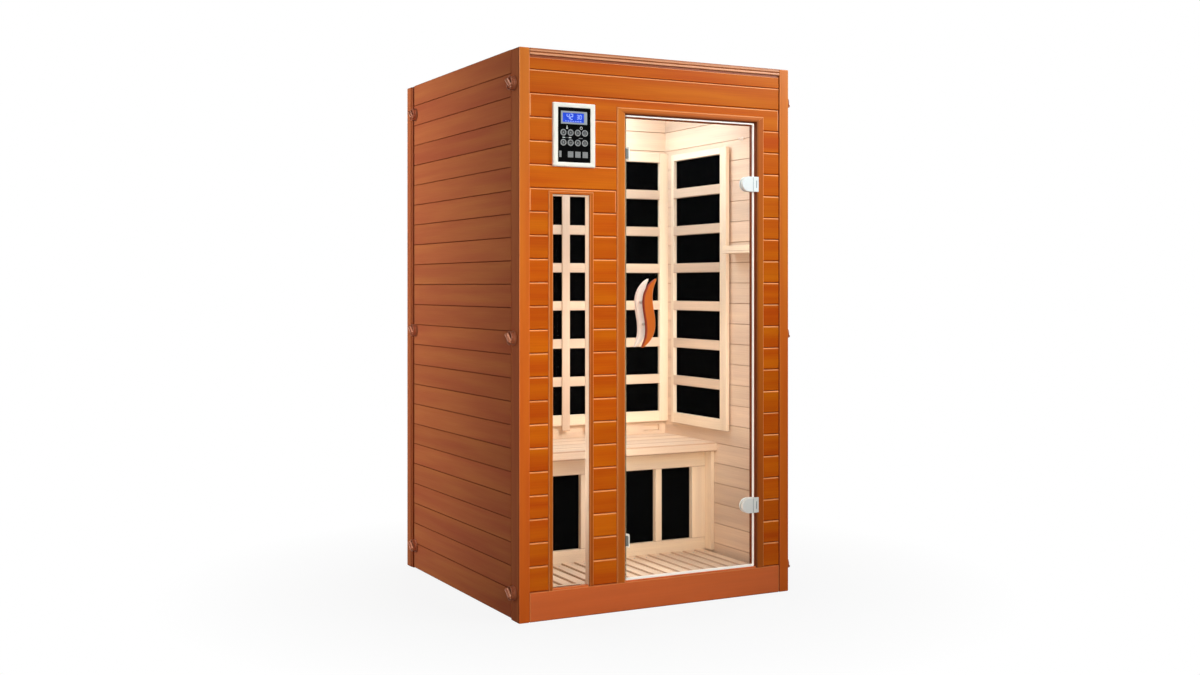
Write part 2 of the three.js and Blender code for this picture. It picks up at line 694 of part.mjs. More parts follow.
const faceTop = rimHigh - FIT;
const faceFront = panelBack - FACE_T;
const face = block(rimLeft + FIT, rimRight - FIT, faceFront, panelBack, rimLow + FIT, faceTop);
const displayTop = faceTop - DISPLAY_DROP;
const displayHole = block(
  panelX - DISPLAY_W / 2 - FIT,
  panelX + DISPLAY_W / 2 + FIT,
  faceFront - 1,
  panelBack + 1,
  displayTop - DISPLAY_H - FIT,
  displayTop + FIT,
);
const keySpots = [];
for (let row = 0; row < KEY_ROWS; row += 1) {
  for (let column = 0; column < KEY_COLUMNS; column += 1) {
    const x = panelX + (column - (KEY_COLUMNS - 1) / 2) * KEY_PITCH_X;
    keySpots.push([x, faceTop - KEY_DROP - row * KEY_PITCH_Z]);
  }
}
const keyHoles = keySpots.map(([x, z]) => bar(KEY_R + KEY_FIT, x, z, faceFront - 1, panelBack + 1));
add("control_face", cut(face, displayHole, ...keyHoles), blackFace);
const display = block(
  panelX - DISPLAY_W / 2,
  panelX + DISPLAY_W / 2,
  faceFront,
  faceFront + DISPLAY_T,
  displayTop - DISPLAY_H,
  displayTop,
);
add("display", display, blueDisplay);
keySpots.forEach(([x, z], i) => {
  const front = faceFront - KEY_PROUD;
  const key = roundY([
    [0, front],
    [KEY_R - KEY_CROWN, front],
    [KEY_R, front + KEY_CROWN],
    [KEY_R, front + KEY_T],
    [0, front + KEY_T],
  ]);
  add("key_" + (i + 1), key.translate(x, 0, z), keySilver);
});

// Heaters: a black panel behind a wooden guard whose bars leave seven open rows
const rowPitch = ROW_H + ROW_BAR;
const heaterTop = HEATER_LOW + HEATER_ROWS * rowPitch - ROW_BAR;
const guardLow = HEATER_LOW - GUARD_RAIL_LOW;
const guardHigh = heaterTop + GUARD_RAIL_TOP;
// Open rows of one guard column, as [from, to, low, high].
function openRows(from, to) {
  const rows = [];
  for (let row = 0; row < HEATER_ROWS; row += 1) {
    const low = HEATER_LOW + row * rowPitch;
    rows.push([from, to, low, low + ROW_H]);
  }
  return rows;
}
const heaterLow = HEATER_LOW - HEATER_LAP;
const heaterHigh = heaterTop + HEATER_LAP;
const backHeaterBack = liningFace - FIT;
const backGuardBack = backHeaterBack - HEATER_T - FIT;
const backGuardFace = backGuardBack - GUARD_T;
const outerTo = roomX - FIT - BACK_STILE;
const backrestPitch = BACKREST_W + BACK_INNER_W;
const backrestLefts = [-1, 0, 1].map((i) => BACKREST_SHIFT - BACKREST_W / 2 + i * backrestPitch);
const backrestRights = backrestLefts.map((left) => left + BACKREST_W);
const backRows = [
  ...openRows(-outerTo, backrestLefts[0]),
  ...openRows(backrestRights[0], backrestLefts[1]),
  ...openRows(backrestRights[1], backrestLefts[2]),
  ...openRows(backrestRights[2], outerTo),
].map(([from, to, low, high]) => block(from, to, backGuardFace - 1, backGuardBack + 1, low, high));
const backGuardHigh = heaterTop + BACK_RAIL_TOP;
const backBoard = block(-roomX + FIT, roomX - FIT, backGuardFace, backGuardBack, guardLow, backGuardHigh);
const backrestFace = backGuardFace - BACKREST_PROUD;
const backrestLow = guardLow - BACKREST_DROOP;
const backrest = backrestLefts.map((left) =>
  block(left, left + BACKREST_W, backrestFace, backGuardBack, backrestLow, backGuardHigh),
);
add("back_heater_guard", join(cut(backBoard, ...backRows), ...backrest), naturalWood);
const backHeaterHalf = outerTo + HEATER_LAP;
const backHeater = block(
  -backHeaterHalf,
  backHeaterHalf,
  backHeaterBack - HEATER_T,
  backHeaterBack,
  heaterLow,
  heaterHigh,
);
add("back_heater_panel", backHeater, heaterBlack);

const sideGuardRear = backGuardFace - SIDE_HEATER_BACK;
const sideRowRear = sideGuardRear - SIDE_GUARD_REAR;
const sideRowFront = sideRowRear - SIDE_HEATER_W;
const sideGuardFront = sideRowFront - SIDE_GUARD_FRONT;
for (const [side, sign] of [["left", -1], ["right", 1]]) {
  const heaterX = [sign * (roomX - FIT), sign * (roomX - FIT - HEATER_T)].sort((a, b) => a - b);
  const panel = block(...heaterX, sideRowFront - HEATER_LAP, sideRowRear + HEATER_LAP, heaterLow, heaterHigh);
  add(side + "_heater_panel", panel, heaterBlack);
  const guardOut = roomX - 2 * FIT - HEATER_T;
  const guardX = [sign * guardOut, sign * (guardOut - GUARD_T)].sort((a, b) => a - b);
  const board = block(...guardX, sideGuardFront, sideGuardRear, guardLow, guardHigh);
  const rows = openRows(sideRowFront, sideRowRear).map((row) => block(guardX[0] - 1, guardX[1] + 1, ...row));
  add(side + "_heater_guard", cut(board, ...rows), naturalWood);
}

// Bench: boards across the cabin with a rounded front edge
const seatFront = frontY + SEAT_FRONT;
const seatBack = liningFace - FIT;
const seatLow = SEAT_TOP - SEAT_T;
const seat = new THREE.Shape();
seat.moveTo(seatBack, seatLow).lineTo(seatFront + SEAT_ROUND, seatLow);
seat.absarc(seatFront + SEAT_ROUND, seatLow + SEAT_ROUND, SEAT_ROUND, 1.5 * Math.PI, Math.PI, true);
seat.lineTo(seatFront, SEAT_TOP - SEAT_ROUND);
seat.absarc(seatFront + SEAT_ROUND, SEAT_TOP - SEAT_ROUND, SEAT_ROUND, Math.PI, Math.PI / 2, true);
for (let y = seatFront + SEAT_BOARD; y < seatBack - GROOVE_W; y += SEAT_BOARD) {
  seat.lineTo(y - GROOVE_W / 2, SEAT_TOP);
  seat.lineTo(y, SEAT_TOP - GROOVE_DEEP);
  seat.lineTo(y + GROOVE_W / 2, SEAT_TOP);
}
seat.lineTo(seatBack, SEAT_TOP).closePath();
add("bench_seat", alongX(seat, -roomX + FIT, roomX - FIT), naturalWood);

// Bench front: a guard with upright bars over the leg heater, and end posts that carry the seat
const kickHalf = roomX - FIT;
const kickTop = seatLow - FIT;
const kickBack = kickFace + KICK_T;
const kickInner = KICK_CENTRE_W / 2;
const kickOuter = kickInner + KICK_INNER_W + KICK_BAR;
const kickEnd = kickOuter + KICK_OUTER_W;
const kickPanes = [
  [-kickEnd, KICK_OUTER_W],
  [-kickInner - KICK_INNER_W, KICK_INNER_W],
  [kickInner, KICK_INNER_W],
  [kickOuter, KICK_OUTER_W],
].map(([left, width]) => block(left, left + width, kickFace - 1, kickBack + 1, KICK_LOW, KICK_LOW + KICK_H));
const kickBoard = block(-kickHalf, kickHalf, kickFace, kickBack, floorTop + FIT, kickTop);
const endPosts = [
  [-kickHalf, -kickHalf + END_POST_W],
  [kickHalf - END_POST_W, kickHalf],
].map(([left, right]) =>
  block(left, right, kickFace - END_POST_DEEP, kickBack, slatTop + FIT, kickTop),
);
add("bench_front_guard", join(cut(kickBoard, ...kickPanes), ...endPosts), naturalWood);
const legHeaterHalf = kickEnd + HEATER_LAP;
const legHeaterFront = kickBack + FIT;
const legHeater = block(
  -legHeaterHalf,
  legHeaterHalf,
  legHeaterFront,
  legHeaterFront + HEATER_T,
  KICK_LOW - HEATER_LAP,
  KICK_LOW + KICK_H + HEATER_LAP,
);
add("bench_heater_panel", legHeater, heaterBlack);

// Shelf: a tray with a lip along the right wall, between the heater and the door
const shelfBack = roomX - FIT;
const shelfFront = boardBack + SHELF_FRONT_CLEAR;
const shelfRear = sideGuardFront - SHELF_CLEAR;
const shelfLip = shelfBack - SHELF_DEEP;
const tray = new THREE.Shape();
tray.moveTo(shelfLip, SHELF_Z).lineTo(shelfBack, SHELF_Z).lineTo(shelfBack, SHELF_Z + SHELF_H);
tray.lineTo(shelfBack - SHELF_WALL, SHELF_Z + SHELF_H).lineTo(shelfBack - SHELF_WALL, SHELF_Z + SHELF_WALL);
tray.lineTo(shelfLip + SHELF_WALL, SHELF_Z + SHELF_WALL).lineTo(shelfLip + SHELF_WALL, SHELF_Z + SHELF_H);
tray.lineTo(shelfLip, SHELF_Z + SHELF_H).closePath();
add("side_shelf", alongY(tray, shelfFront, shelfRear), naturalWood);

// Twist locks: a round knob with a dished end and a finger bar across it
const dish = LOCK_R - LOCK_RIM;
const knob = roundY([
  [0, 0],
  [LOCK_R, 0],
  [LOCK_R, LOCK_H - LOCK_ROUND],
  [LOCK_R - LOCK_ROUND / 2, LOCK_H],
  [dish, LOCK_H],
  [dish - LOCK_ROUND, LOCK_H - LOCK_DISH],
  [0, LOCK_H - LOCK_DISH],
]);
const barHalf = LOCK_R - LOCK_RIM / 2;
const barFoot = LOCK_H - LOCK_DISH - 1;
const fingerBar = block(-barHalf, barHalf, barFoot, LOCK_BAR_H, -LOCK_BAR_W / 2, LOCK_BAR_W / 2);
const lock = join(knob, fingerBar);
const lockHeights = [CABIN_H - LOCK_TOP_DROP, (CABIN_H - LOCK_TOP_DROP + LOCK_LOW) / 2, LOCK_LOW];
for (const [side, sign] of [["left", -1], ["right", 1]]) {
  for (const [end, y] of [["front", frontY + LOCK_FRONT_INSET], ["rear", backY - LOCK_REAR_INSET]]) {
    lockHeights.forEach((z, i) => {
      const mesh = add("lock_" + side + "_" + end + "_" + (i + 1), lock, lockBronze);
      mesh.position.set(sign * (half + FIT), y, z);
      mesh.rotation.set(THREE.MathUtils.degToRad(LOCK_TILT), 0, (-sign * Math.PI) / 2);
    });
  }
}

export default cabin;
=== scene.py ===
import math

import bmesh
import bpy
import numpy as np
from mathutils import Matrix, Vector


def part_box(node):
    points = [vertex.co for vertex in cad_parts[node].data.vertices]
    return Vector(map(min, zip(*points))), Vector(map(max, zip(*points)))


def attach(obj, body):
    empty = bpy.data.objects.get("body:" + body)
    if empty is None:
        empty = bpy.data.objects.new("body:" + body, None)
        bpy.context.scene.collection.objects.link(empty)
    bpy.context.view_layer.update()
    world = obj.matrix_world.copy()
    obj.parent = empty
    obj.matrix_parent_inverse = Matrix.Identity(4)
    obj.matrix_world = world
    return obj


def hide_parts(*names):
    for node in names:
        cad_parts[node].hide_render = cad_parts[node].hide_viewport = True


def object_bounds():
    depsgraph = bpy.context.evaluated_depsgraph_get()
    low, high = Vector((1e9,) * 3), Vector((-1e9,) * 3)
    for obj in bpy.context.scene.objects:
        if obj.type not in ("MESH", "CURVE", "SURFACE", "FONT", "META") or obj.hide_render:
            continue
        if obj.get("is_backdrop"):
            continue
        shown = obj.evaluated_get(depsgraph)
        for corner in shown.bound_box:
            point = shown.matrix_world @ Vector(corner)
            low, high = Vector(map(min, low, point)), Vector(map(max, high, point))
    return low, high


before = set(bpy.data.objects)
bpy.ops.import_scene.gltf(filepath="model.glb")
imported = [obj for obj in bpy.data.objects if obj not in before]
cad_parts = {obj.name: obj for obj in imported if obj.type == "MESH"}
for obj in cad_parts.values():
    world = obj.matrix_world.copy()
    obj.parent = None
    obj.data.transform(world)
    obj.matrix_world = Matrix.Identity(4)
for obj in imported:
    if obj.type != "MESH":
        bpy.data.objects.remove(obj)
cad_low, cad_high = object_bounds()


# Floor. A base panel lies on the ground, and a duckboard of bare hemlock slats, screwed to two battens, lies on
# it from the door to the bench. Planed softwood with eased edges, pale, with fine straight growth rings.


def step(tree, kind, inputs=None, **settings):
    """Adds one node. A value is set on the input it is named for, an output of another node is wired to it."""
    made = tree.nodes.new(kind)
    for name, value in settings.items():
        setattr(made, name, value)
    for name, value in (inputs or {}).items():
        if isinstance(value, bpy.types.NodeSocket):
            tree.links.new(value, made.inputs[name])
        else:
            made.inputs[name].default_value = value
    return made


def calc(tree, operation, first, second=0.0, clamp=False):
    return step(tree, "ShaderNodeMath", {0: first, 1: second}, operation=operation, use_clamp=clamp).outputs[0]


def blend(tree, share, first, second, how="MIX"):
    mixed = step(tree, "ShaderNodeMix", {0: share, 6: first, 7: second}, data_type="RGBA", blend_type=how)
    return mixed.outputs[2]


def spread(tree, value, low, high, first=0.0, last=1.0):
    return step(tree, "ShaderNodeMapRange", {0: value, 1: first, 2: last, 3: low, 4: high}).outputs[0]


def stretched_noise(tree, place, stretch, detail):
    scaled = step(tree, "ShaderNodeVectorMath", {0: place, 1: stretch}, operation="MULTIPLY").outputs[0]
    return step(tree, "ShaderNodeTexNoise", {"Vector": scaled, "Scale": 1.0, "Detail": detail}).outputs["Fac"]


wood_figure = bpy.data.node_groups.new("wood_figure", "ShaderNodeTree")
for name, kind in (("Grain", "Vector"), ("Board", "Float"), ("Ring Pitch", "Float"), ("Waver", "Float")):
    wood_figure.interface.new_socket(name, in_out="INPUT", socket_type="NodeSocket" + kind)
for name in ("Ring", "Fibre", "Drift"):
    wood_figure.interface.new_socket(name, in_out="OUTPUT", socket_type="NodeSocketFloat")
sawn = wood_figure.nodes.new("NodeGroupInput")
apart = step(
    wood_figure, "ShaderNodeVectorMath", {0: sawn.outputs["Board"], 1: (9.1, 0.43, 0.31)}, operation="MULTIPLY"
)
place = step(
    wood_figure, "ShaderNodeVectorMath", {0: sawn.outputs["Grain"], 1: apart.outputs[0]}, operation="ADD"
).outputs[0]
drift = stretched_noise(wood_figure, place, (1.3, 22.0, 22.0), 2.0)
across = step(wood_figure, "ShaderNodeVectorMath", {0: place, 1: (0.0, 1.0, 1.0)}, operation="MULTIPLY")
radius = step(wood_figure, "ShaderNodeVectorMath", {0: across.outputs[0]}, operation="LENGTH").outputs["Value"]
turns = calc(wood_figure, "DIVIDE", radius, sawn.outputs["Ring Pitch"])
turns = calc(wood_figure, "ADD", turns, calc(wood_figure, "MULTIPLY", drift, sawn.outputs["Waver"]))
wave = calc(wood_figure, "SINE", calc(wood_figure, "MULTIPLY", turns, 2 * math.pi))
ring = calc(wood_figure, "POWER", spread(wood_figure, calc(wood_figure, "ADD", wave, 1.0), 0.0, 0.5), 2.0)
fibre = stretched_noise(wood_figure, place, (8.0, 380.0, 380.0), 3.0)
outward = wood_figure.nodes.new("NodeGroupOutput")
for name, value in (("Ring", ring), ("Fibre", fibre), ("Drift", drift)):
    wood_figure.links.new(value, outward.inputs[name])


def timber(
    name, pale, deep, rim, under, rings=0.2, fibres=0.35, tone=0.05, cloud=0.06, rough=0.5, shine=0.1, sway=0.0
):
    """Planed timber: rings and fibres along each board, boards a little lighter or darker, and eased edges.
    rim is the colour painted on the eased edges that look up or sideways, under on those that look down: on the
    stained front a painted highlight and painted shade, on the side walls and most bare hemlock darker joint lines.
    sway is how far the hue drifts between red and yellow."""
    material = bpy.data.materials.new(name)
    material.use_nodes = True
    tree = material.node_tree
    surface = tree.nodes["Principled BSDF"]
    grain = step(tree, "ShaderNodeAttribute", attribute_name="grain").outputs["Vector"]
    board, edge, shade = (
        step(tree, "ShaderNodeAttribute", attribute_name=mark).outputs["Fac"] for mark in ("board", "edge", "shade")
    )
    sizes = {"Grain": grain, "Board": board, "Ring Pitch": 0.008, "Waver": 3.0}
    ring, fibre, drift = step(tree, "ShaderNodeGroup", sizes, node_tree=wood_figure).outputs
    depth = calc(tree, "ADD", calc(tree, "MULTIPLY", ring, rings), calc(tree, "MULTIPLY", fibre, fibres), clamp=True)
    wood = blend(tree, depth, pale, deep)
    clouded = spread(tree, drift, -cloud, cloud, 0.3, 0.7)
    lift = calc(tree, "ADD", spread(tree, board, 1.0 - tone, 1.0 + tone), clouded)
    hue = spread(tree, drift, 0.5 - sway, 0.5 + sway, 0.3, 0.7)
    wood = step(tree, "ShaderNodeHueSaturation", {"Hue": hue, "Value": lift, "Color": wood}).outputs[0]
    # Painted highlight: the rim colour over the eased edges marked edge, a little uneven; then painted shade: the under
    # colour over those marked shade.
    painted_light = calc(tree, "MULTIPLY", edge, spread(tree, drift, 0.75, 1.0, 0.3, 0.7))
    wood = blend(tree, shade, blend(tree, painted_light, wood, rim), under)
    tree.links.new(wood, surface.inputs["Base Color"])
    tree.links.new(spread(tree, fibre, rough - 0.06, rough + 0.08), surface.inputs["Roughness"])
    relief = step(tree, "ShaderNodeBump", {"Height": fibre, "Strength": 0.1, "Distance": 0.0005})
    tree.links.new(relief.outputs[0], surface.inputs["Normal"])
    surface.inputs["Specular IOR Level"].default_value = shine
    return material


hemlock = timber(
    "hemlock", (0.91, 0.73, 0.57, 1), (0.70, 0.49, 0.34, 1), (0.58, 0.37, 0.25, 1), (0.46, 0.28, 0.18, 1),
    0.35, 0.5, 0.06, 0.08, sway=0.004,
)

# Boards in a stack: each runs along X with its face at Y 0, one pitch above the next, cut to the stack's ends.
boarding = bpy.data.node_groups.new("boarding", "GeometryNodeTree")
boarding.interface.new_socket("Geometry", in_out="INPUT", socket_type="NodeSocketGeometry")
for name in ("Length", "Low", "High", "Foot", "Joint", "Pitch", "Gap", "Thickness", "Ease"):
    boarding.interface.new_socket(name, in_out="INPUT", socket_type="NodeSocketFloat")
boarding.interface.new_socket("Seed", in_out="INPUT", socket_type="NodeSocketInt")
boarding.interface.new_socket("Wood", in_out="INPUT", socket_type="NodeSocketMaterial")
boarding.interface.new_socket("Geometry", in_out="OUTPUT", socket_type="NodeSocketGeometry")
size = boarding.nodes.new("NodeGroupInput").outputs
order = step(boarding, "GeometryNodeInputIndex").outputs[0]
lowest = calc(boarding, "ADD", size["Low"], size["Foot"])
reach = calc(boarding, "DIVIDE", calc(boarding, "SUBTRACT", size["Joint"], lowest), size["Pitch"])
count = calc(boarding, "ADD", calc(boarding, "CEIL", calc(boarding, "SUBTRACT", reach, 0.01)), 1.0)
joint = calc(boarding, "SUBTRACT", size["Joint"], calc(boarding, "MULTIPLY", order, size["Pitch"]))
last = calc(boarding, "GREATER_THAN", order, calc(boarding, "SUBTRACT", count, 1.5))
low = step(boarding, "ShaderNodeMix", {0: last, 2: joint, 3: size["Low"]}).outputs[0]
high = step(
    boarding,
    "ShaderNodeMix",
    {0: calc(boarding, "LESS_THAN", order, 0.5), 2: calc(boarding, "ADD", joint, size["Pitch"]), 3: size["High"]},
).outputs[0]
middle = calc(boarding, "MULTIPLY", calc(boarding, "ADD", low, high), 0.5)
cover = calc(boarding, "SUBTRACT", size["Pitch"], size["Gap"])
tall = calc(boarding, "SUBTRACT", calc(boarding, "SUBTRACT", high, low), size["Gap"])
section = step(boarding, "GeometryNodeCurvePrimitiveQuadrilateral", {"Width": size["Thickness"], "Height": cover})
eased = step(
    boarding,
    "GeometryNodeFilletCurve",
    {"Curve": section.outputs[0], "Radius": size["Ease"], "Count": 3},
    mode="POLY",
)
length = step(boarding, "ShaderNodeCombineXYZ", {"X": size["Length"]})
line = step(boarding, "GeometryNodeCurvePrimitiveLine", {"End": length.outputs[0]})
board = step(
    boarding,
    "GeometryNodeCurveToMesh",
    {"Curve": line.outputs[0], "Profile Curve": eased.outputs[0], "Fill Caps": True},
)
inward = step(boarding, "ShaderNodeCombineXYZ", {"Y": calc(boarding, "MULTIPLY", size["Thickness"], 0.5)})
board = step(boarding, "GeometryNodeTransform", {"Geometry": board.outputs[0], "Translation": inward.outputs[0]})
stack = step(boarding, "GeometryNodeMeshLine", {"Count": count, "Offset": (0, 0, 0)})
up = step(boarding, "ShaderNodeCombineXYZ", {"Z": middle})
stack = step(boarding, "GeometryNodeSetPosition", {"Geometry": stack.outputs[0], "Position": up.outputs[0]})
fit = step(boarding, "ShaderNodeCombineXYZ", {"X": 1.0, "Y": 1.0, "Z": calc(boarding, "DIVIDE", tall, cover)})
laid = step(
    boarding,
    "GeometryNodeInstanceOnPoints",
    {"Points": stack.outputs[0], "Instance": board.outputs[0], "Scale": fit.outputs[0]},
)
chance = step(boarding, "FunctionNodeRandomValue", {"ID": order, "Seed": size["Seed"]}, data_type="FLOAT")
laid = step(
    boarding,
    "GeometryNodeStoreNamedAttribute",
    {"Geometry": laid.outputs[0], "Name": "board", "Value": chance.outputs[1]},
    domain="INSTANCE",
)
laid = step(boarding, "GeometryNodeRealizeInstances", {"Geometry": laid.outputs[0]})
spot = step(boarding, "GeometryNodeInputPosition")
laid = step(
    boarding,
    "GeometryNodeStoreNamedAttribute",
    {"Geometry": laid.outputs[0], "Name": "grain"},
    data_type="FLOAT_VECTOR",
)
boarding.links.new(spot.outputs[0], laid.inputs["Value"])
laid = step(boarding, "GeometryNodeSetMaterial", {"Geometry": laid.outputs[0], "Material": size["Wood"]})
boarding.links.new(laid.outputs[0], boarding.nodes.new("NodeGroupOutput").inputs[0])


def grow(tree, name, sizes, start=None):
    """Runs a node tree with these sizes and keeps what it makes as a plain mesh."""
    piece = bpy.data.objects.new(name, start or bpy.data.meshes.new(name))
    bpy.context.scene.collection.objects.link(piece)
    form = piece.modifiers.new("form", "NODES")
    form.node_group = tree
    for socket in tree.interface.items_tree:
        if socket.in_out == "INPUT" and socket.name in sizes:
            form[socket.identifier] = sizes[socket.name]
    made = bpy.data.meshes.new_from_object(piece.evaluated_get(bpy.context.evaluated_depsgraph_get()))
    piece.modifiers.clear()
    piece.data = made
    return piece


def boards(name, wood, length, low, high, joint, pitch, thickness, gap=0.0006, ease=0.002, seed=1, foot=0.0):
    sizes = {"Wood": wood, "Length": length, "Low": low, "High": high, "Joint": joint, "Pitch": pitch, "Foot": foot}
    return grow(boarding, name, {**sizes, "Gap": gap, "Thickness": thickness, "Ease": ease, "Seed": seed})


def facing(origin, depth, stack):
    """Turns boards to where they are fixed: depth is the way into their thickness, stack the way up the stack."""
    depth, stack = Vector(depth), Vector(stack)
    turn = Matrix((depth.cross(stack), depth, stack)).transposed().to_4x4()
    return Matrix.Translation(origin) @ turn


def settle(piece, body, *nodes, slot=None, place=None):
    """Puts a piece in its place, marks its eased edges for painted light (edge, a painted highlight on those that
    look up or sideways; shade, painted shade on those that look down), shades its flats flat, and lets it ride on its
    body.
    """
    mesh = piece.data
    if place is not None:
        mesh.transform(place)
    normals = np.array([face.normal for face in mesh.polygons])
    tilt = 1 - np.abs(normals).max(1)
    upper = normals[:, 2] > -0.1
    for name, painted_light in (("edge", np.clip(tilt / 0.02, 0, 1) * upper), ("shade", np.clip(tilt / 0.1, 0, 1) * ~upper)):
        if name not in mesh.attributes:
            mesh.attributes.new(name, "FLOAT", "FACE").data.foreach_set("value", painted_light.astype(np.float32))
    mesh.shade_smooth()
    mesh.set_sharp_from_angle(angle=math.radians(40))
    piece.modifiers.new("flats", "WEIGHTED_NORMAL").keep_sharp = True
    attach(piece, body)
    if nodes:
        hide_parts(*nodes)
    return piece


def stock():
    """An empty mesh whose points will carry their place in the grain and the number of their board."""
    bm = bmesh.new()
    bm.verts.layers.float_vector.new("grain")
    bm.verts.layers.float.new("board")
    return bm


def mark(bm, verts, along, board):
    grain = bm.verts.layers.float_vector["grain"]
    number = bm.verts.layers.float["board"]
    for vert in verts:
        vert[grain] = [vert.co[(along + k) % 3] for k in range(3)]
        vert[number] = board


def plank(bm, low, high, along, ease=0.002, board=0.5):
    """A planed length of timber between two corners, with eased edges. along is 0, 1 or 2 for X, Y or Z."""
    known = set(bm.verts)
    corners = bmesh.ops.create_cube(bm, size=1)["verts"]
    for vert in corners:
        vert.co = [(high if vert.co[k] > 0 else low)[k] for k in range(3)]
    edges = list({edge for vert in corners for edge in vert.link_edges})
    bmesh.ops.bevel(bm, geom=edges, offset=ease, segments=2, profile=0.5, affect="EDGES")
    mark(bm, set(bm.verts) - known, along, board)


def piece_of(name, bm, *materials):
    bmesh.ops.recalc_face_normals(bm, faces=bm.faces)
    mesh = bpy.data.meshes.new(name)
    bm.to_mesh(mesh)
    bm.free()
    for material in materials:
        mesh.materials.append(material)
    piece = bpy.data.objects.new(name, mesh)
    bpy.context.scene.collection.objects.link(piece)
    return piece


low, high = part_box("floor_base")
base = stock()
plank(base, low, high, 0, 0.003)
# The base panel is dark brown: painted shade for the gaps between the slats.
floor_shade_brown = timber(
    "floor_shade_brown", (0.16, 0.075, 0.035, 1), (0.11, 0.050, 0.022, 1), (0.10, 0.045, 0.02, 1), (0.08, 0.035, 0.015, 1)
)
settle(piece_of("floor_panel", base, floor_shade_brown), "cabin", "floor_base", slot="natural_wood")

low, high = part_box("floor_slats")
SLAT_PITCH, SLAT_GAP, SLAT_T = 0.0525, 0.0125, 0.016
end = high.x + SLAT_GAP / 2
slats = boards(
    "floor_slat_row", hemlock, high.y - low.y, -end, end, end - SLAT_PITCH, SLAT_PITCH, SLAT_T, SLAT_GAP, 0.003
)
settle(slats, "cabin", "floor_slats", slot="natural_wood", place=facing((0, high.y, high.z), (0, 0, -1), (1, 0, 0)))
battens = stock()
BATTEN_SPOTS = (low.y + 0.030, high.y - 0.070)
for y in BATTEN_SPOTS:
    plank(battens, (low.x, y, low.z), (high.x, y + 0.040, low.z + 0.008), 0, 0.001, y)
settle(piece_of("floor_slat_battens", battens, hemlock), "cabin", slot="natural_wood")


# Screws. Small zinc-plated cross-head screws hold the slats, the hinge plates and the roof.
# Each is a shallow domed head with a near-black cross on its top, painted shade for the sunk recess of the cross.
screw_zinc = bpy.data.materials.new("screw_zinc")
screw_zinc.use_nodes = True
zinc = screw_zinc.node_tree
brushed = step(zinc, "ShaderNodeTexCoord").outputs["Object"]
dull = stretched_noise(zinc, brushed, (900.0, 900.0, 900.0), 2.0)
finish = zinc.nodes["Principled BSDF"]
zinc.links.new(blend(zinc, dull, (0.50, 0.49, 0.46, 1), (0.66, 0.65, 0.62, 1)), finish.inputs["Base Color"])
zinc.links.new(spread(zinc, dull, 0.3, 0.5), finish.inputs["Roughness"])
finish.inputs["Metallic"].default_value = 1.0
# The cross's near-black colour is painted shade standing for its recess.
screw_slot = bpy.data.materials.new("screw_slot")
screw_slot.use_nodes = True
cross_shade = screw_slot.node_tree
cross_mottle = stretched_noise(cross_shade, step(cross_shade, "ShaderNodeTexCoord").outputs["Object"], (700.0, 700.0, 700.0), 1.0)
cross_shade.links.new(
    blend(cross_shade, cross_mottle, (0.02, 0.02, 0.02, 1), (0.07, 0.06, 0.05, 1)),
    cross_shade.nodes["Principled BSDF"].inputs["Base Color"],
)

screw_heads = bpy.data.node_groups.new("screw_heads", "GeometryNodeTree")
screw_heads.interface.new_socket("Spots", in_out="INPUT", socket_type="NodeSocketGeometry")
for name, kind in (("Radius", "Float"), ("Turn", "Vector"), ("Head", "Material"), ("Cross", "Material")):
    screw_heads.interface.new_socket(name, in_out="INPUT", socket_type="NodeSocket" + kind)
screw_heads.interface.new_socket("Geometry", in_out="OUTPUT", socket_type="NodeSocketGeometry")
given = screw_heads.nodes.new("NodeGroupInput").outputs
height = calc(screw_heads, "MULTIPLY", given["Radius"], 0.35)
dome = step(
    screw_heads,
    "GeometryNodeMeshCone",
    {
        "Vertices": 14,
        "Radius Top": calc(screw_heads, "MULTIPLY", given["Radius"], 0.72),
        "Radius Bottom": given["Radius"],
        "Depth": height,
    },
)
dome = step(screw_heads, "GeometryNodeSetMaterial", {"Geometry": dome.outputs["Mesh"], "Material": given["Head"]})
bars = step(screw_heads, "GeometryNodeJoinGeometry")
for turned in (False, True):
    long = calc(screw_heads, "MULTIPLY", given["Radius"], 1.1)
    thin = calc(screw_heads, "MULTIPLY", given["Radius"], 0.22)
    shape = step(
        screw_heads,
        "ShaderNodeCombineXYZ",
        {"X": thin if turned else long, "Y": long if turned else thin, "Z": calc(screw_heads, "MULTIPLY", height, 0.1)},
    )
    bar = step(screw_heads, "GeometryNodeMeshCube", {"Size": shape.outputs[0]})
    top = step(screw_heads, "ShaderNodeCombineXYZ", {"Z": height})
    bar = step(screw_heads, "GeometryNodeTransform", {"Geometry": bar.outputs["Mesh"], "Translation": top.outputs[0]})
    screw_heads.links.new(bar.outputs[0], bars.inputs[0])
cross = step(screw_heads, "GeometryNodeSetMaterial", {"Geometry": bars.outputs[0], "Material": given["Cross"]})
whole = step(screw_heads, "GeometryNodeJoinGeometry")
screw_heads.links.new(dome.outputs[0], whole.inputs[0])
screw_heads.links.new(cross.outputs[0], whole.inputs[0])
driven = step(
    screw_heads,
    "GeometryNodeInstanceOnPoints",
    {"Points": given["Spots"], "Instance": whole.outputs[0], "Rotation": given["Turn"]},
)
driven = step(screw_heads, "GeometryNodeRealizeInstances", {"Geometry": driven.outputs[0]})
screw_heads.links.new(driven.outputs[0], screw_heads.nodes.new("NodeGroupOutput").inputs[0])


def screws(name, body, spots, turn, radius):
    """Screw heads on these spots, turned from facing up to facing out of the piece they hold."""
    mesh = bpy.data.meshes.new(name + "_spots")
    mesh.from_pydata([tuple(spot) for spot in spots], [], [])
    given = {"Radius": radius, "Turn": turn, "Head": screw_zinc, "Cross": screw_slot}
    piece = grow(screw_heads, name, given, mesh)
    bpy.data.meshes.remove(mesh)
    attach(piece, body)
    return piece


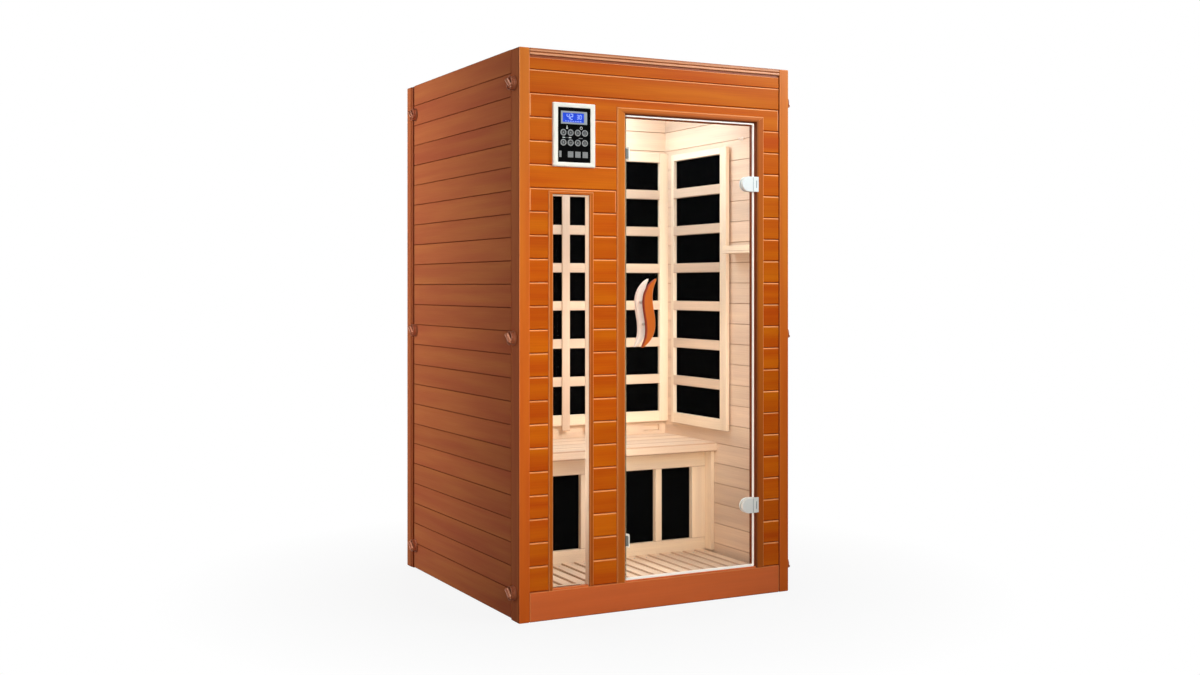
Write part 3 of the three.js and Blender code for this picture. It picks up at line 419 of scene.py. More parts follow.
slat_middles = [end - SLAT_PITCH * (i + 0.5) for i in range(round(2 * end / SLAT_PITCH))]
screws(
    "floor_slat_screws",
    "cabin",
    [(x, y + 0.020, high.z - 0.0004) for x in slat_middles for y in BATTEN_SPOTS],
    (0, 0, 0),
    0.0035,
)


# Side walls. Outside, tongue-and-groove boards with a matt red-brown stain stand between the front post and a
# shadow groove at the rear post; inside, thin bare hemlock boards line the room.
side_stain = timber(
    "side_stain", (0.48, 0.135, 0.050, 1), (0.35, 0.088, 0.030, 1), (0.22, 0.048, 0.014, 1), (0.14, 0.028, 0.008, 1),
    0.18, 0.45, 0.05, 0.09, 0.5, 0.03, 0.006,
)
# The groove is darker than the wall's stain: painted shade in the rebate.
groove_shade_brown = timber(
    "groove_shade_brown", (0.26, 0.046, 0.008, 1), (0.20, 0.034, 0.005, 1), (0.15, 0.026, 0.004, 1), (0.1, 0.02, 0.003, 1)
)
lining_wood = timber(
    "lining_hemlock", (0.87, 0.69, 0.54, 1), (0.63, 0.44, 0.31, 1), (0.58, 0.38, 0.26, 1), (0.46, 0.28, 0.18, 1),
    0.35, 0.5, 0.08, 0.09, sway=0.004,
)
BOARD_PITCH, OUTER_TOP, LINING_TOP, FOOT_BOARD = 0.078, 0.080, 0.074, 0.060
REBATE_W, REBATE_T = 0.016, 0.010
top = cad_high.z
for side, sign in (("left", -1), ("right", 1)):
    low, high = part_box(side + "_wall_panel")
    face = sign * max(abs(low.x), abs(high.x))
    rear = high.y - REBATE_W
    start = low.y if sign > 0 else rear
    wall = boards(
        side + "_wall_boards", side_stain, rear - low.y, low.z, high.z, top - OUTER_TOP, BOARD_PITCH,
        high.x - low.x, 0.0006, 0.0018, 3 + sign, FOOT_BOARD,
    )
    settle(
        wall, "cabin", side + "_wall_panel", slot="stained_side",
        place=facing((face, start, 0), (-sign, 0, 0), (0, 0, 1)),
    )
    groove = stock()
    inner, outer = sorted((face - sign * (high.x - low.x), face - sign * REBATE_T))
    plank(groove, (inner, rear + 0.0002, low.z), (outer, high.y, high.z), 2, 0.0008, 0.9)
    settle(piece_of(side + "_shadow_groove", groove, groove_shade_brown), "cabin", slot="stained_side")
    low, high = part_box(side + "_wall_lining")
    face = sign * min(abs(low.x), abs(high.x))
    start = high.y if sign > 0 else low.y
    lining = boards(
        side + "_lining_boards", lining_wood, high.y - low.y, low.z, high.z, top - LINING_TOP, BOARD_PITCH,
        high.x - low.x, 0.0008, 0.0014, 11 + sign,
    )
    settle(
        lining, "cabin", side + "_wall_lining", slot="natural_wood",
        place=facing((face, start, 0), (sign, 0, 0), (0, 0, 1)),
    )


# Back wall. Stained boards between two full rear posts outside, and inside a hemlock lining nailed to studs,
# with an air slot sawn through it above the seat and a little louvre set back in the slot.
low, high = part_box("back_wall_panel")
POST_W, BOARD_SETBACK = 0.040, 0.005
wall = boards(
    "back_wall_boards", side_stain, high.x - low.x - 2 * POST_W, low.z + 0.006, high.z, top - OUTER_TOP, BOARD_PITCH,
    high.y - low.y - BOARD_SETBACK, 0.0006, 0.0018, 7, FOOT_BOARD,
)
settle(
    wall, "cabin", "back_wall_panel", slot="stained_side",
    place=facing((high.x - POST_W, high.y - BOARD_SETBACK, 0), (0, -1, 0), (0, 0, 1)),
)
POST_LIP = 0.022
rear_posts, post_lips = stock(), stock()
for left, right in ((low.x, low.x + POST_W), (high.x - POST_W, high.x)):
    plank(rear_posts, (left, low.y + POST_LIP, low.z), (right, high.y, high.z), 2, 0.003, 0.5 + left)
    plank(post_lips, (left, low.y, low.z), (right, low.y + POST_LIP, high.z), 2, 0.006, 0.5 + left)
settle(piece_of("rear_posts", rear_posts, side_stain), "cabin", slot="stained_side")
# The lips are a little darker than the walls: painted shade beside the groove.
lip_shade_stain = timber(
    "lip_shade_stain", (0.43, 0.100, 0.026, 1), (0.33, 0.068, 0.016, 1), (0.22, 0.040, 0.007, 1), (0.2, 0.03, 0.005, 1)
)
settle(piece_of("rear_post_lips", post_lips, lip_shade_stain), "cabin", slot="stained_side")

low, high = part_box("back_wall_lining")
LINING_T, VENT_LOW, VENT_HIGH, VENT_LEFT, VENT_RIGHT = 0.012, 0.516, 0.540, 0.3876, 0.4636
lining = boards(
    "back_lining_boards", hemlock, high.x - low.x, low.z, high.z, top - LINING_TOP, BOARD_PITCH, LINING_T, 0.0012,
    0.0014, 21,
)
lining.data.transform(facing((low.x, low.y, 0), (0, 1, 0), (0, 0, 1)))
slot_cutter = stock()
plank(slot_cutter, (VENT_LEFT, low.y - 0.02, VENT_LOW), (VENT_RIGHT, low.y + 0.03, VENT_HIGH), 0, 0.0015)
slot_cutter = piece_of("vent_slot_cutter", slot_cutter, hemlock)
sawn_out = lining.modifiers.new("vent", "BOOLEAN")
sawn_out.object = slot_cutter
sawn_out.operation = "DIFFERENCE"
made = bpy.data.meshes.new_from_object(lining.evaluated_get(bpy.context.evaluated_depsgraph_get()))
lining.modifiers.clear()
lining.data = made
bpy.data.objects.remove(slot_cutter)
settle(lining, "cabin", "back_wall_lining", slot="natural_wood")
studs = stock()
STUD_W = 0.026
for i, x in enumerate((low.x, -STUD_W / 2, high.x - STUD_W)):
    plank(studs, (x, low.y + LINING_T + 0.0003, low.z), (x + STUD_W, high.y, high.z), 2, 0.002, 0.2 + 0.3 * i)
plank(studs, (VENT_LEFT, low.y + 0.0125, VENT_LOW), (VENT_RIGHT, low.y + 0.0165, VENT_HIGH), 0, 0.001, 0.1)
settle(piece_of("back_lining_studs", studs, hemlock), "cabin", slot="natural_wood")


# Front posts. Full-height corner posts, stained and varnished to a warm orange in front; their flanks are matt,
# like the side walls that lock to them.
front_stain = timber(
    "front_stain", (0.63, 0.120, 0.003, 1), (0.43, 0.060, 0.001, 1), (0.96, 0.38, 0.14, 1), (0.36, 0.050, 0.003, 1),
    0.26, 0.42, 0.05, 0.10, 0.38, 0.10, 0.007,
)
post_stain = timber(
    "post_stain", (0.75, 0.200, 0.019, 1), (0.57, 0.122, 0.010, 1), (0.78, 0.23, 0.055, 1), (0.60, 0.065, 0.004, 1),
    0.15, 0.4, 0.03, 0.08, 0.36, 0.18, 0.006,
)
POST_FOOT_SHADE = 0.62
for side, sign in (("left", -1), ("right", 1)):
    low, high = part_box("front_post_" + side)
    post = stock()
    plank(post, low, high, 2, 0.004, 0.5 + 0.2 * sign)
    post = piece_of("corner_post_" + side, post, post_stain, side_stain)
    for face in post.data.polygons:
        face.material_index = int(abs(face.normal.x) > 0.75)
    # Painted shade on the post's front faces, deeper towards the foot, darker and redder at the bottom; the flanks get
    # none.
    painted_shade = []
    for face in post.data.polygons:
        for k in face.vertices:
            painted_shade.append(POST_FOOT_SHADE * (1 - post.data.vertices[k].co.z / high.z) * (1 - face.material_index))
    post.data.attributes.new("shade", "FLOAT", "CORNER").data.foreach_set("value", painted_shade)
    settle(post, "cabin", "front_post_" + side, slot="stained_front")


# Front wall. Short varnished boards above and beside the door and the window, notched round their heads, with a
# painted highlight, a pale line, on their upper eased edges and painted shade on the lower ones, a plinth below, and
# a beaded crown on top.
FRONT_JOINT, FRONT_PITCH, FRONT_EASE = 1.8295, 0.0784, 0.0045
low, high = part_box("front_right_boards")
front_face, front_back = low.y, high.y


# A lighter copy of the front stain for the header and the boards above the window: painted light where the top of the
# wall is brighter.
upper_lit_stain = timber(
    "upper_lit_stain", (0.66, 0.137, 0.004, 1), (0.45, 0.069, 0.002, 1), (0.96, 0.40, 0.16, 1), (0.38, 0.055, 0.004, 1),
    0.26, 0.42, 0.04, 0.09, 0.38, 0.10, 0.007,
)


def front_boards(name, wood, left, right, low, high, seed, *nodes):
    joint = FRONT_JOINT
    while joint > high - 0.006:
        joint -= FRONT_PITCH
    made = boards(
        name, wood, right - left, low, high, joint, FRONT_PITCH, front_back - front_face, 0.0005, FRONT_EASE,
        seed, 0.03,
    )
    place = facing((left, front_face, 0), (0, 1, 0), (0, 0, 1))
    return settle(made, "cabin", *nodes, slot="stained_front", place=place)


def notched_board(name, wood, left, right, row, hole, board):
    """The board of this row, counted from the top, notched from below round the head of a casing."""
    high = FRONT_JOINT - FRONT_PITCH * (row - 1) - 0.0004
    low = high - FRONT_PITCH + 0.0008
    outline = [(left, low), (hole[0], low), (hole[0], hole[2]), (hole[1], hole[2]), (hole[1], low), (right, low)]
    bm = stock()
    front = bm.faces.new([bm.verts.new((x, front_face, z)) for x, z in outline + [(right, high), (left, high)]])
    grown = bmesh.ops.extrude_face_region(bm, geom=[front])["geom"]
    moved = [vert for vert in grown if isinstance(vert, bmesh.types.BMVert)]
    bmesh.ops.translate(bm, verts=moved, vec=(0, front_back - front_face, 0))
    sawn = [
        edge for edge in bm.edges
        if all(abs(v.co.y - front_face) < 1e-6 and min(abs(v.co.z - low), abs(v.co.z - high)) < 1e-6 for v in edge.verts)
    ]
    bmesh.ops.bevel(bm, geom=sawn, offset=FRONT_EASE, segments=4, profile=0.5, affect="EDGES")
    mark(bm, bm.verts, 0, board)
    settle(piece_of(name, bm, wood), "cabin", slot="stained_front")


def hole_of(node):
    low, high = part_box(node)
    return low.x - 0.0003, high.x + 0.0003, high.z + 0.0003


low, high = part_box("front_header_boards")
left, right, floor_line = low.x, high.x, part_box("front_left_boards")[0].z
door_hole, window_hole = hole_of("door_frame"), hole_of("window_frame")
door_row, window_row = 2, 6
under_door_row = FRONT_JOINT - FRONT_PITCH * door_row
under_window_row = FRONT_JOINT - FRONT_PITCH * window_row
front_boards("header_boards", upper_lit_stain, left, right, under_door_row + FRONT_PITCH, high.z + FRONT_EASE, 31, "front_header_boards")
notched_board("door_head_board", upper_lit_stain, left, right, door_row, door_hole, 0.6)
front_boards("right_column_boards", front_stain, door_hole[1], right, floor_line, under_door_row, 37, "front_right_boards")
window_top = under_window_row + FRONT_PITCH
front_boards("panel_boards", upper_lit_stain, left, door_hole[0], window_top, under_door_row, 41, "front_left_boards")
notched_board("window_head_board", front_stain, left, door_hole[0], window_row, window_hole, 0.4)
front_boards("left_column_boards", front_stain, left, window_hole[0], floor_line, under_window_row, 43)
front_boards("centre_column_boards", front_stain, window_hole[1], door_hole[0], floor_line, under_window_row, 47)


def run(bm, start, finish, board, paint=None):
    """A moulded length between two rings of points, closed at both ends, its grain along the run. paint gives the
    material's number of the strips that aren't the first material."""
    rings = [[bm.verts.new(point) for point in ring] for ring in (start, finish)]
    count = len(start)
    for i in range(count):
        face = bm.faces.new((rings[0][i], rings[0][(i + 1) % count], rings[1][(i + 1) % count], rings[1][i]))
        face.material_index = (paint or {}).get(i, 0)
    bm.faces.new(rings[0][::-1])
    bm.faces.new(rings[1])
    reach = [abs(b - a) for a, b in zip(start[0], finish[0])]
    mark(bm, rings[0] + rings[1], reach.index(max(reach)), board)


crown_stain = timber(
    "crown_stain", (0.58, 0.185, 0.062, 1), (0.48, 0.138, 0.042, 1), (0.92, 0.42, 0.23, 1), (0.34, 0.072, 0.019, 1),
    0.1, 0.3, 0.0, 0.05, 0.4, 0.3,
)
low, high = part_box("crown_moulding")
COVE_H, COVE_DEEP, BEAD_PROUD = 0.011, 0.0055, 0.0035
crown_section = [(high.y, low.z), (low.y + COVE_DEEP, low.z), (low.y + COVE_DEEP, low.z + COVE_H)]
bead_edges = (low.z + COVE_H, low.z + COVE_H + 0.0105, high.z)
for under, over in zip(bead_edges, bead_edges[1:]):
    for k in range(13):
        turn = math.pi * k / 12
        proud = BEAD_PROUD * (1 - math.sin(turn) ** 0.7)
        crown_section.append((low.y + proud, (under + over) / 2 - (over - under) * 0.49 * math.cos(turn)))
crown_section.append((high.y, high.z))
crown = stock()
run(crown, [(low.x, y, z) for y, z in crown_section], [(high.x, y, z) for y, z in crown_section], 0.4)
crown = piece_of("crown_beads", crown, crown_stain)
# Painted light on the crown: a painted highlight across the middle of each bead, painted shade in the cove, in the
# groove between the beads and along the top.
for name, bands in (
    ("edge", ((0.0130, 0.0180, 1.0), (0.0235, 0.0285, 0.8))),
    ("shade", ((-1.0, 0.0115, 1.0), (0.0195, 0.0230, 0.7), (0.0300, 1.0, 0.3))),
):
    levels = [face.center.z - low.z for face in crown.data.polygons]
    painted_light = [max([share for first, last, share in bands if first <= z <= last] + [0.0]) for z in levels]
    crown.data.attributes.new(name, "FLOAT", "FACE").data.foreach_set("value", painted_light)
settle(crown, "cabin", "crown_moulding", slot="stained_front")

plinth_stain = timber(
    "plinth_stain", (0.79, 0.170, 0.042, 1), (0.62, 0.115, 0.026, 1), (0.84, 0.27, 0.09, 1), (0.25, 0.04, 0.008, 1),
    0.12, 0.3, 0.0, 0.08, 0.36, 0.25,
)
low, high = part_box("front_plinth")
PLINTH_H, SILL_LIP = 0.098, 0.017
plinth = stock()
plank(plinth, low, (high.x, high.y, PLINTH_H), 0, 0.003, 0.6)
# This brown is darker than any stain: painted shade for the door's reveal, its inner sill and the stop under its head.
reveal_shade_brown = timber(
    "reveal_shade_brown", (0.36, 0.080, 0.016, 1), (0.26, 0.050, 0.009, 1), (0.30, 0.06, 0.012, 1), (0.2, 0.04, 0.008, 1)
)
for name, hole, leg, wood in (("door", door_hole, 0.0333, reveal_shade_brown), ("window", window_hole, 0.0173, hemlock)):
    left, right, lip = hole[0] + leg, hole[1] - leg, low.y + 0.003 + SILL_LIP
    plank(plinth, (left, low.y + 0.003, PLINTH_H - 0.002), (right, lip, high.z), 0, 0.0015, 0.3)
    sill = stock()
    plank(sill, (left, lip + 0.0002, PLINTH_H + 0.0001), (right, low.y + 0.045, high.z), 0, 0.001, 0.3)
    settle(piece_of(name + "_inner_sill", sill, wood), "cabin", slot="natural_wood")
settle(piece_of("plinth_and_sills", plinth, plinth_stain), "cabin", "front_plinth", slot="stained_front")


# Door frame and window frame. Varnished casings, mitred at the upper corners and rounded on both front edges,
# that stand a little proud of the boards and on the plinth.
casing_stain = timber(
    "casing_stain", (0.65, 0.155, 0.013, 1), (0.48, 0.093, 0.006, 1), (0.84, 0.30, 0.09, 1), (0.14, 0.022, 0.003, 1),
    0.15, 0.4, 0.14, 0.08, 0.36, 0.18, 0.006,
)
CASING_FOOT_SHADE = 0.25
bead_hemlock = timber(
    "bead_hemlock", (0.93, 0.76, 0.60, 1), (0.78, 0.58, 0.43, 1), (0.90, 0.72, 0.57, 1), (0.90, 0.74, 0.60, 1), 0.3, 0.4
)


def casing(name, node, leg, head, ease, pane, back, inner, shadow):
    """A frame on three sides. Behind the pane's plane the faces towards the opening are of the inner material.
    Painted shade darkens the head's and the right leg's inner edge, over the width of shadow, and the whole casing
    towards its foot."""
    low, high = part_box(node)
    opening = (low.x + leg, high.x - leg, high.z - head)

    def section(width):
        points = [(0.0, back), (0.0, pane)]
        for middle, first in ((ease, math.pi), (width - ease, math.pi / 2)):
            for k in range(7):
                turn = first - k * math.pi / 12
                points.append((middle + ease * math.cos(turn), low.y + ease * (1 - math.sin(turn))))
        for k in range(1, 4):
            points.insert(8 + k, (ease + shadow * k / 4, low.y))
        points.append((width, back))
        return points

    bm = stock()
    # The right leg's low board value makes it darker than the left: painted shade on the right leg.
    for sign, edge, board in ((-1, opening[0], 0.55), (1, opening[1], 0.1)):
        ring = section(leg)
        foot = [(edge + sign * w, y, low.z) for w, y in ring]
        mitre = [(edge + sign * w, y, opening[2] + w * head / leg - 0.0003) for w, y in ring]
        run(bm, foot, mitre, board, {0: 1})
    ring = section(head)
    left = [(opening[0] - w * leg / head + 0.0003, y, opening[2] + w) for w, y in ring]
    right = [(opening[1] + w * leg / head - 0.0003, y, opening[2] + w) for w, y in ring]
    run(bm, left, right, 0.55, {0: 1})
    made = piece_of(name, bm, casing_stain, inner)
    inset = [max(face.center.x - opening[1], face.center.z - opening[2]) for face in made.data.polygons]
    dark = [max(0.0, 1 - w / shadow) if w > -0.0001 and w < shadow else 0.0 for w in inset]
    height = [made.data.vertices[corner.vertex_index].co.z for corner in made.data.loops]
    painted_shade = [
        max(dark[face.index], CASING_FOOT_SHADE * (1 - height[k] / high.z)) for face in made.data.polygons for k in face.loop_indices
    ]
    made.data.attributes.new("shade", "FLOAT", "CORNER").data.foreach_set("value", painted_shade)
    return settle(made, "cabin", node, slot="stained_front")


low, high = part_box("door_frame")
casing("door_casing", "door_frame", 0.033, 0.023, 0.005, low.y + 0.0055, front_back, reveal_shade_brown, 0.013)
low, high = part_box("window_frame")
bead_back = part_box("window_glass")[1].y + 0.003
casing("window_casing", "window_frame", 0.017, 0.011, 0.004, low.y + 0.0045, bead_back, bead_hemlock, 0.002)


# Fixed window. One clear pane in the casing's groove; its sawn edges look green, its faces almost vanish.
def pane_glass(name, clear, sawn_green):
    material = bpy.data.materials.new(name)
    material.use_nodes = True
    tree = material.node_tree
    glass = tree.nodes["Principled BSDF"]
    ends = step(tree, "ShaderNodeTexCoord").outputs["Normal"]
    across = calc(tree, "ABSOLUTE", step(tree, "ShaderNodeSeparateXYZ", {0: ends}).outputs["Y"])
    sawn = calc(tree, "LESS_THAN", across, 0.5)
    tree.links.new(blend(tree, sawn, clear, sawn_green), glass.inputs["Base Color"])
    smear = stretched_noise(tree, step(tree, "ShaderNodeTexCoord").outputs["Object"], (3.0, 3.0, 2.0), 3.0)
    tree.links.new(spread(tree, smear, 0.0, 0.003), glass.inputs["Roughness"])
    glass.inputs["Transmission Weight"].default_value = 1.0
    glass.inputs["IOR"].default_value = 1.08
    ray = step(tree, "ShaderNodeLightPath")
    lamps = calc(tree, "MAXIMUM", ray.outputs["Is Shadow Ray"], ray.outputs["Is Diffuse Ray"])
    through = step(tree, "ShaderNodeBsdfTransparent", {"Color": (0.97, 0.98, 0.97, 1)})
    mixed = step(tree, "ShaderNodeMixShader", {0: lamps, 1: glass.outputs[0], 2: through.outputs[0]})
    tree.links.new(mixed.outputs[0], tree.nodes["Material Output"].inputs["Surface"])
    return material


clear_glass = pane_glass("clear_glass", (0.98, 0.99, 0.985, 1), (0.12, 0.17, 0.14, 1))
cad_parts["window_glass"].data.materials.clear()
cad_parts["window_glass"].data.materials.append(clear_glass)


# Heaters. Thin black carbon panels on the back and side walls and under the bench; a faint weave shows close up.
heater_film = bpy.data.materials.new("heater_film")
heater_film.use_nodes = True
film = heater_film.node_tree
where = step(film, "ShaderNodeTexCoord").outputs["Object"]
weave = step(film, "ShaderNodeTexChecker", {"Vector": where, "Scale": 420.0}).outputs["Fac"]
cloud = stretched_noise(film, where, (9.0, 9.0, 9.0), 2.0)
carbon = blend(film, weave, (0.0008, 0.0008, 0.0009, 1), (0.0018, 0.0018, 0.0020, 1))
carbon = blend(film, calc(film, "MULTIPLY", cloud, 0.5), carbon, (0.0006, 0.0006, 0.0006, 1))
finish = film.nodes["Principled BSDF"]
film.links.new(carbon, finish.inputs["Base Color"])
film.links.new(spread(film, weave, 0.6, 0.7), finish.inputs["Roughness"])
relief = step(film, "ShaderNodeBump", {"Height": weave, "Strength": 0.1, "Distance": 0.0003})
film.links.new(relief.outputs[0], finish.inputs["Normal"])
finish.inputs["Specular IOR Level"].default_value = 0.0
for name in ("back", "left", "right", "bench"):
    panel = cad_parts[name + "_heater_panel"].data
    panel.materials.clear()
    panel.materials.append(heater_film)


# Heater guards. Bare hemlock frames over the heaters: stiles and rails glued flat, seven open rows between
# crossbars, and on the back wall three backrest battens screwed over the bars.
ROW_LOW, ROW_H, ROW_BAR, ROWS = 0.598, 0.114, 0.0375, 7
row_pitch = ROW_H + ROW_BAR
row_top = ROW_LOW + ROWS * row_pitch - ROW_BAR
guard_wood = timber(
    "guard_hemlock", (0.93, 0.78, 0.61, 1), (0.78, 0.60, 0.43, 1), (0.90, 0.75, 0.59, 1), (0.56, 0.37, 0.25, 1),
    0.3, 0.5, 0.05, 0.08, sway=0.004,
)


# A darker copy of the guard hemlock for the crossbars and the backrest battens: painted shade on them.
shaded_bar_wood = timber(
    "shaded_bar_hemlock", (0.77, 0.60, 0.46, 1), (0.60, 0.43, 0.31, 1), (0.66, 0.47, 0.34, 1), (0.50, 0.32, 0.22, 1),
    0.3, 0.5, 0.06, 0.08, sway=0.004,
)


def crossbars(name, length, thickness, place, seed):
    first = ROW_LOW + ROW_H + ROW_BAR / 2 - row_pitch / 2
    last = first + (ROWS - 1) * row_pitch
    bars = boards(
        name, shaded_bar_wood, length, first, last, last - row_pitch, row_pitch, thickness, ROW_H, 0.002, seed
    )
    settle(bars, "cabin", slot="natural_wood", place=place)


for side, sign in (("left", -1), ("right", 1)):
    low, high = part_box(side + "_heater_guard")
    REAR_STILE, FRONT_STILE, STILE_SETBACK = 0.020, 0.060, 0.015
    guard = stock()
    plank(guard, (low.x, low.y + STILE_SETBACK, low.z), (high.x, low.y + FRONT_STILE, high.z), 2, 0.002, 0.3)
    plank(guard, (low.x, high.y - REAR_STILE, low.z), high, 2, 0.002, 0.7)
    left, right = low.y + FRONT_STILE + 0.0002, high.y - REAR_STILE - 0.0002
    plank(guard, (low.x, left, low.z), (high.x, right, ROW_LOW), 1, 0.002, 0.15)
    plank(guard, (low.x, left, row_top), (high.x, right, high.z), 1, 0.002, 0.9)
    settle(piece_of(side + "_guard_frame", guard, guard_wood), "cabin", side + "_heater_guard", slot="natural_wood")
    face = low.x if sign > 0 else high.x
    place = facing((face, right if sign > 0 else left, 0), (sign, 0, 0), (0, 0, 1))
    crossbars(side + "_guard_bars", right - left, high.x - low.x, place, 51 + sign)

low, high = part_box("back_heater_guard")
GUARD_T, BACK_STILE, BACKREST_W = 0.016, 0.040, 0.035
guard_face, guard_low = high.y - GUARD_T, low.z + 0.020
guard = stock()
left, right = low.x + BACK_STILE, high.x - BACK_STILE
plank(guard, (low.x, guard_face, guard_low), (left, high.y, high.z), 2, 0.002, 0.25)
plank(guard, (right, guard_face, guard_low), high, 2, 0.002, 0.65)
plank(guard, (left + 0.0002, guard_face, guard_low), (right - 0.0002, high.y, ROW_LOW), 0, 0.002, 0.5)
plank(guard, (left + 0.0002, guard_face, row_top), (right - 0.0002, high.y, high.z), 0, 0.002, 0.8)
settle(piece_of("back_guard_frame", guard, guard_wood), "cabin", "back_heater_guard", slot="natural_wood")
backrest = stock()
for i, x in enumerate((-0.102, 0.002, 0.106)):
    plank(backrest, (x, low.y, low.z), (x + BACKREST_W, guard_face + 0.0002, high.z), 2, 0.003, 0.1 + 0.27 * i)
settle(piece_of("backrest_battens", backrest, shaded_bar_wood), "cabin", slot="natural_wood")
place = facing((left, guard_face + 0.0004, 0), (0, 1, 0), (0, 0, 1))
crossbars("back_guard_bars", right - left, GUARD_T - 0.0004, place, 61)


# Bench. A seat of four hemlock boards across the cabin, its front edge rounded over, on a front guard with
# four open panes over the leg heater and an end post at each wall.
low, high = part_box("bench_seat")
SEAT_PITCH = 0.100
seat = boards(
    "bench_seat_boards", hemlock, high.x - low.x, low.y, high.y, low.y + 3 * SEAT_PITCH, SEAT_PITCH, high.z - low.z,
    0.0012, 0.005, 71,
)
settle(seat, "cabin", "bench_seat", slot="natural_wood", place=facing((low.x, 0, high.z), (0, 0, -1), (0, 1, 0)))

low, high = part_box("bench_front_guard")
KICK_FACE, PANE_LOW, PANE_HIGH, POST_T = high.y - 0.022, 0.125, 0.405, 0.016
kick_low, kick_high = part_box("floor_base")[1].z + 0.0003, high.z
kick = stock()
plank(kick, (low.x, KICK_FACE, kick_low), (high.x, high.y, PANE_LOW), 0, 0.002, 0.2)
plank(kick, (low.x, KICK_FACE, PANE_HIGH), (high.x, high.y, kick_high), 0, 0.002, 0.55)
upright_spots = ((low.x, -0.417), (-0.281, -0.253), (-0.069, 0.069), (0.253, 0.281), (0.417, high.x))
for i, (left, right) in enumerate(upright_spots):
    plank(kick, (left, KICK_FACE, PANE_LOW + 0.0002), (right, high.y, PANE_HIGH - 0.0002), 2, 0.002, 0.1 + 0.21 * i)
for left in (low.x, high.x - POST_T):
    plank(kick, (left, low.y, low.z + 0.0246), (left + POST_T, KICK_FACE - 0.0002, high.z), 2, 0.002, 0.5 + left)
settle(piece_of("bench_guard_frame", kick, guard_wood), "cabin", "bench_front_guard", slot="natural_wood")


# Shelf. A narrow hemlock tray screwed to the right wall between the heater and the door: a base, a back strip
# and a front lip, glued.
low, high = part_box("side_shelf")
SHELF_WALL = 0.009
shelf = stock()
plank(shelf, low, (high.x, high.y, low.z + SHELF_WALL), 1, 0.0015, 0.4)
plank(shelf, (low.x, low.y, low.z + SHELF_WALL), (low.x + SHELF_WALL, high.y, high.z), 1, 0.0015, 0.7)
plank(shelf, (high.x - SHELF_WALL, low.y, low.z + SHELF_WALL), high, 1, 0.0015, 0.1)
settle(piece_of("shelf_tray", shelf, guard_wood), "cabin", "side_shelf", slot="natural_wood")


# Roof. A panel let in below the wall tops: hemlock ceiling boards under a plain sheet, which carries the power
# inlet's gland.
low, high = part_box("roof_panel")
CEILING_PITCH, CEILING_T, GLAND_R, GLAND_H, GLAND_Y = 0.082, 0.012, 0.014, 0.009, 0.3377
roof_top = high.z - GLAND_H
ceiling = boards(
    "ceiling_boards", hemlock, high.y - low.y, low.x, high.x, 5 * CEILING_PITCH, CEILING_PITCH, CEILING_T, 0.0012, 0.0014, 81
)
settle(ceiling, "cabin", "roof_panel", slot="natural_wood", place=facing((0, low.y, low.z), (0, 0, 1), (1, 0, 0)))
roof = stock()
plank(roof, (low.x, low.y, low.z + CEILING_T + 0.0003), (high.x, high.y, roof_top), 0, 0.002, 0.3)
settle(piece_of("roof_sheet", roof, hemlock), "cabin", slot="natural_wood")
screws(
    "roof_screws",
    "cabin",
    [(x * 0.16, y, roof_top - 0.0004) for x in range(-3, 4) for y in (low.y + 0.03, 0.0, high.y - 0.03)],
    (0, 0, 0),
    0.004,
)


def lathe(bm, profile, steps, centre=(0, 0, 0), material=0):
    """A turned piece about Z through the centre, from (radius, height) points; radius 0 closes an end."""
    rings = []
    for radius, height in profile:
        count = 1 if radius == 0 else steps
        rings.append([
            bm.verts.new((
                centre[0] + radius * math.cos(2 * math.pi * k / steps),
                centre[1] + radius * math.sin(2 * math.pi * k / steps),
                centre[2] + height,
            ))
            for k in range(count)
        ])
    for first, second in zip(rings, rings[1:]):
        for k in range(steps):
            corners = (
                first[k % len(first)],
                first[(k + 1) % len(first)],
                second[(k + 1) % len(second)],
                second[k % len(second)],
            )
            face = bm.faces.new(list(dict.fromkeys(corners)))
            face.material_index = material
    return bm


def moulded(name, colour, other, rough, grain=260.0, shine=0.5, metallic=0.0, coat=0.0):
    """A moulded or cast finish: a faint mottle in its colour and gloss."""
    material = bpy.data.materials.new(name)
    material.use_nodes = True
    tree = material.node_tree
    surface = tree.nodes["Principled BSDF"]
    where = step(tree, "ShaderNodeTexCoord").outputs["Object"]
    mottle = stretched_noise(tree, where, (grain, grain, grain), 2.0)
    tree.links.new(blend(tree, mottle, colour, other), surface.inputs["Base Color"])
    tree.links.new(spread(tree, mottle, rough - 0.05, rough + 0.08), surface.inputs["Roughness"])
    surface.inputs["Specular IOR Level"].default_value = shine
    surface.inputs["Metallic"].default_value = metallic
    surface.inputs["Coat Weight"].default_value = coat
    return material


gland_black = moulded("gland_black", (0.02, 0.02, 0.021, 1), (0.035, 0.035, 0.036, 1), 0.45)
gland = bmesh.new()
rim = GLAND_R - 0.001
gland_profile = [(0, -0.001), (GLAND_R, -0.001), (GLAND_R, 0.0035), (rim, 0.0042), (0.0105, 0.0046), (0.0105, 0.0078)]
lathe(gland, gland_profile + [(0.0095, GLAND_H), (0.0062, GLAND_H), (0.0055, 0.004), (0, 0.004)], 32, (0, GLAND_Y, roof_top))
settle(piece_of("cable_gland", gland, gland_black), "cabin", slot="black_face")


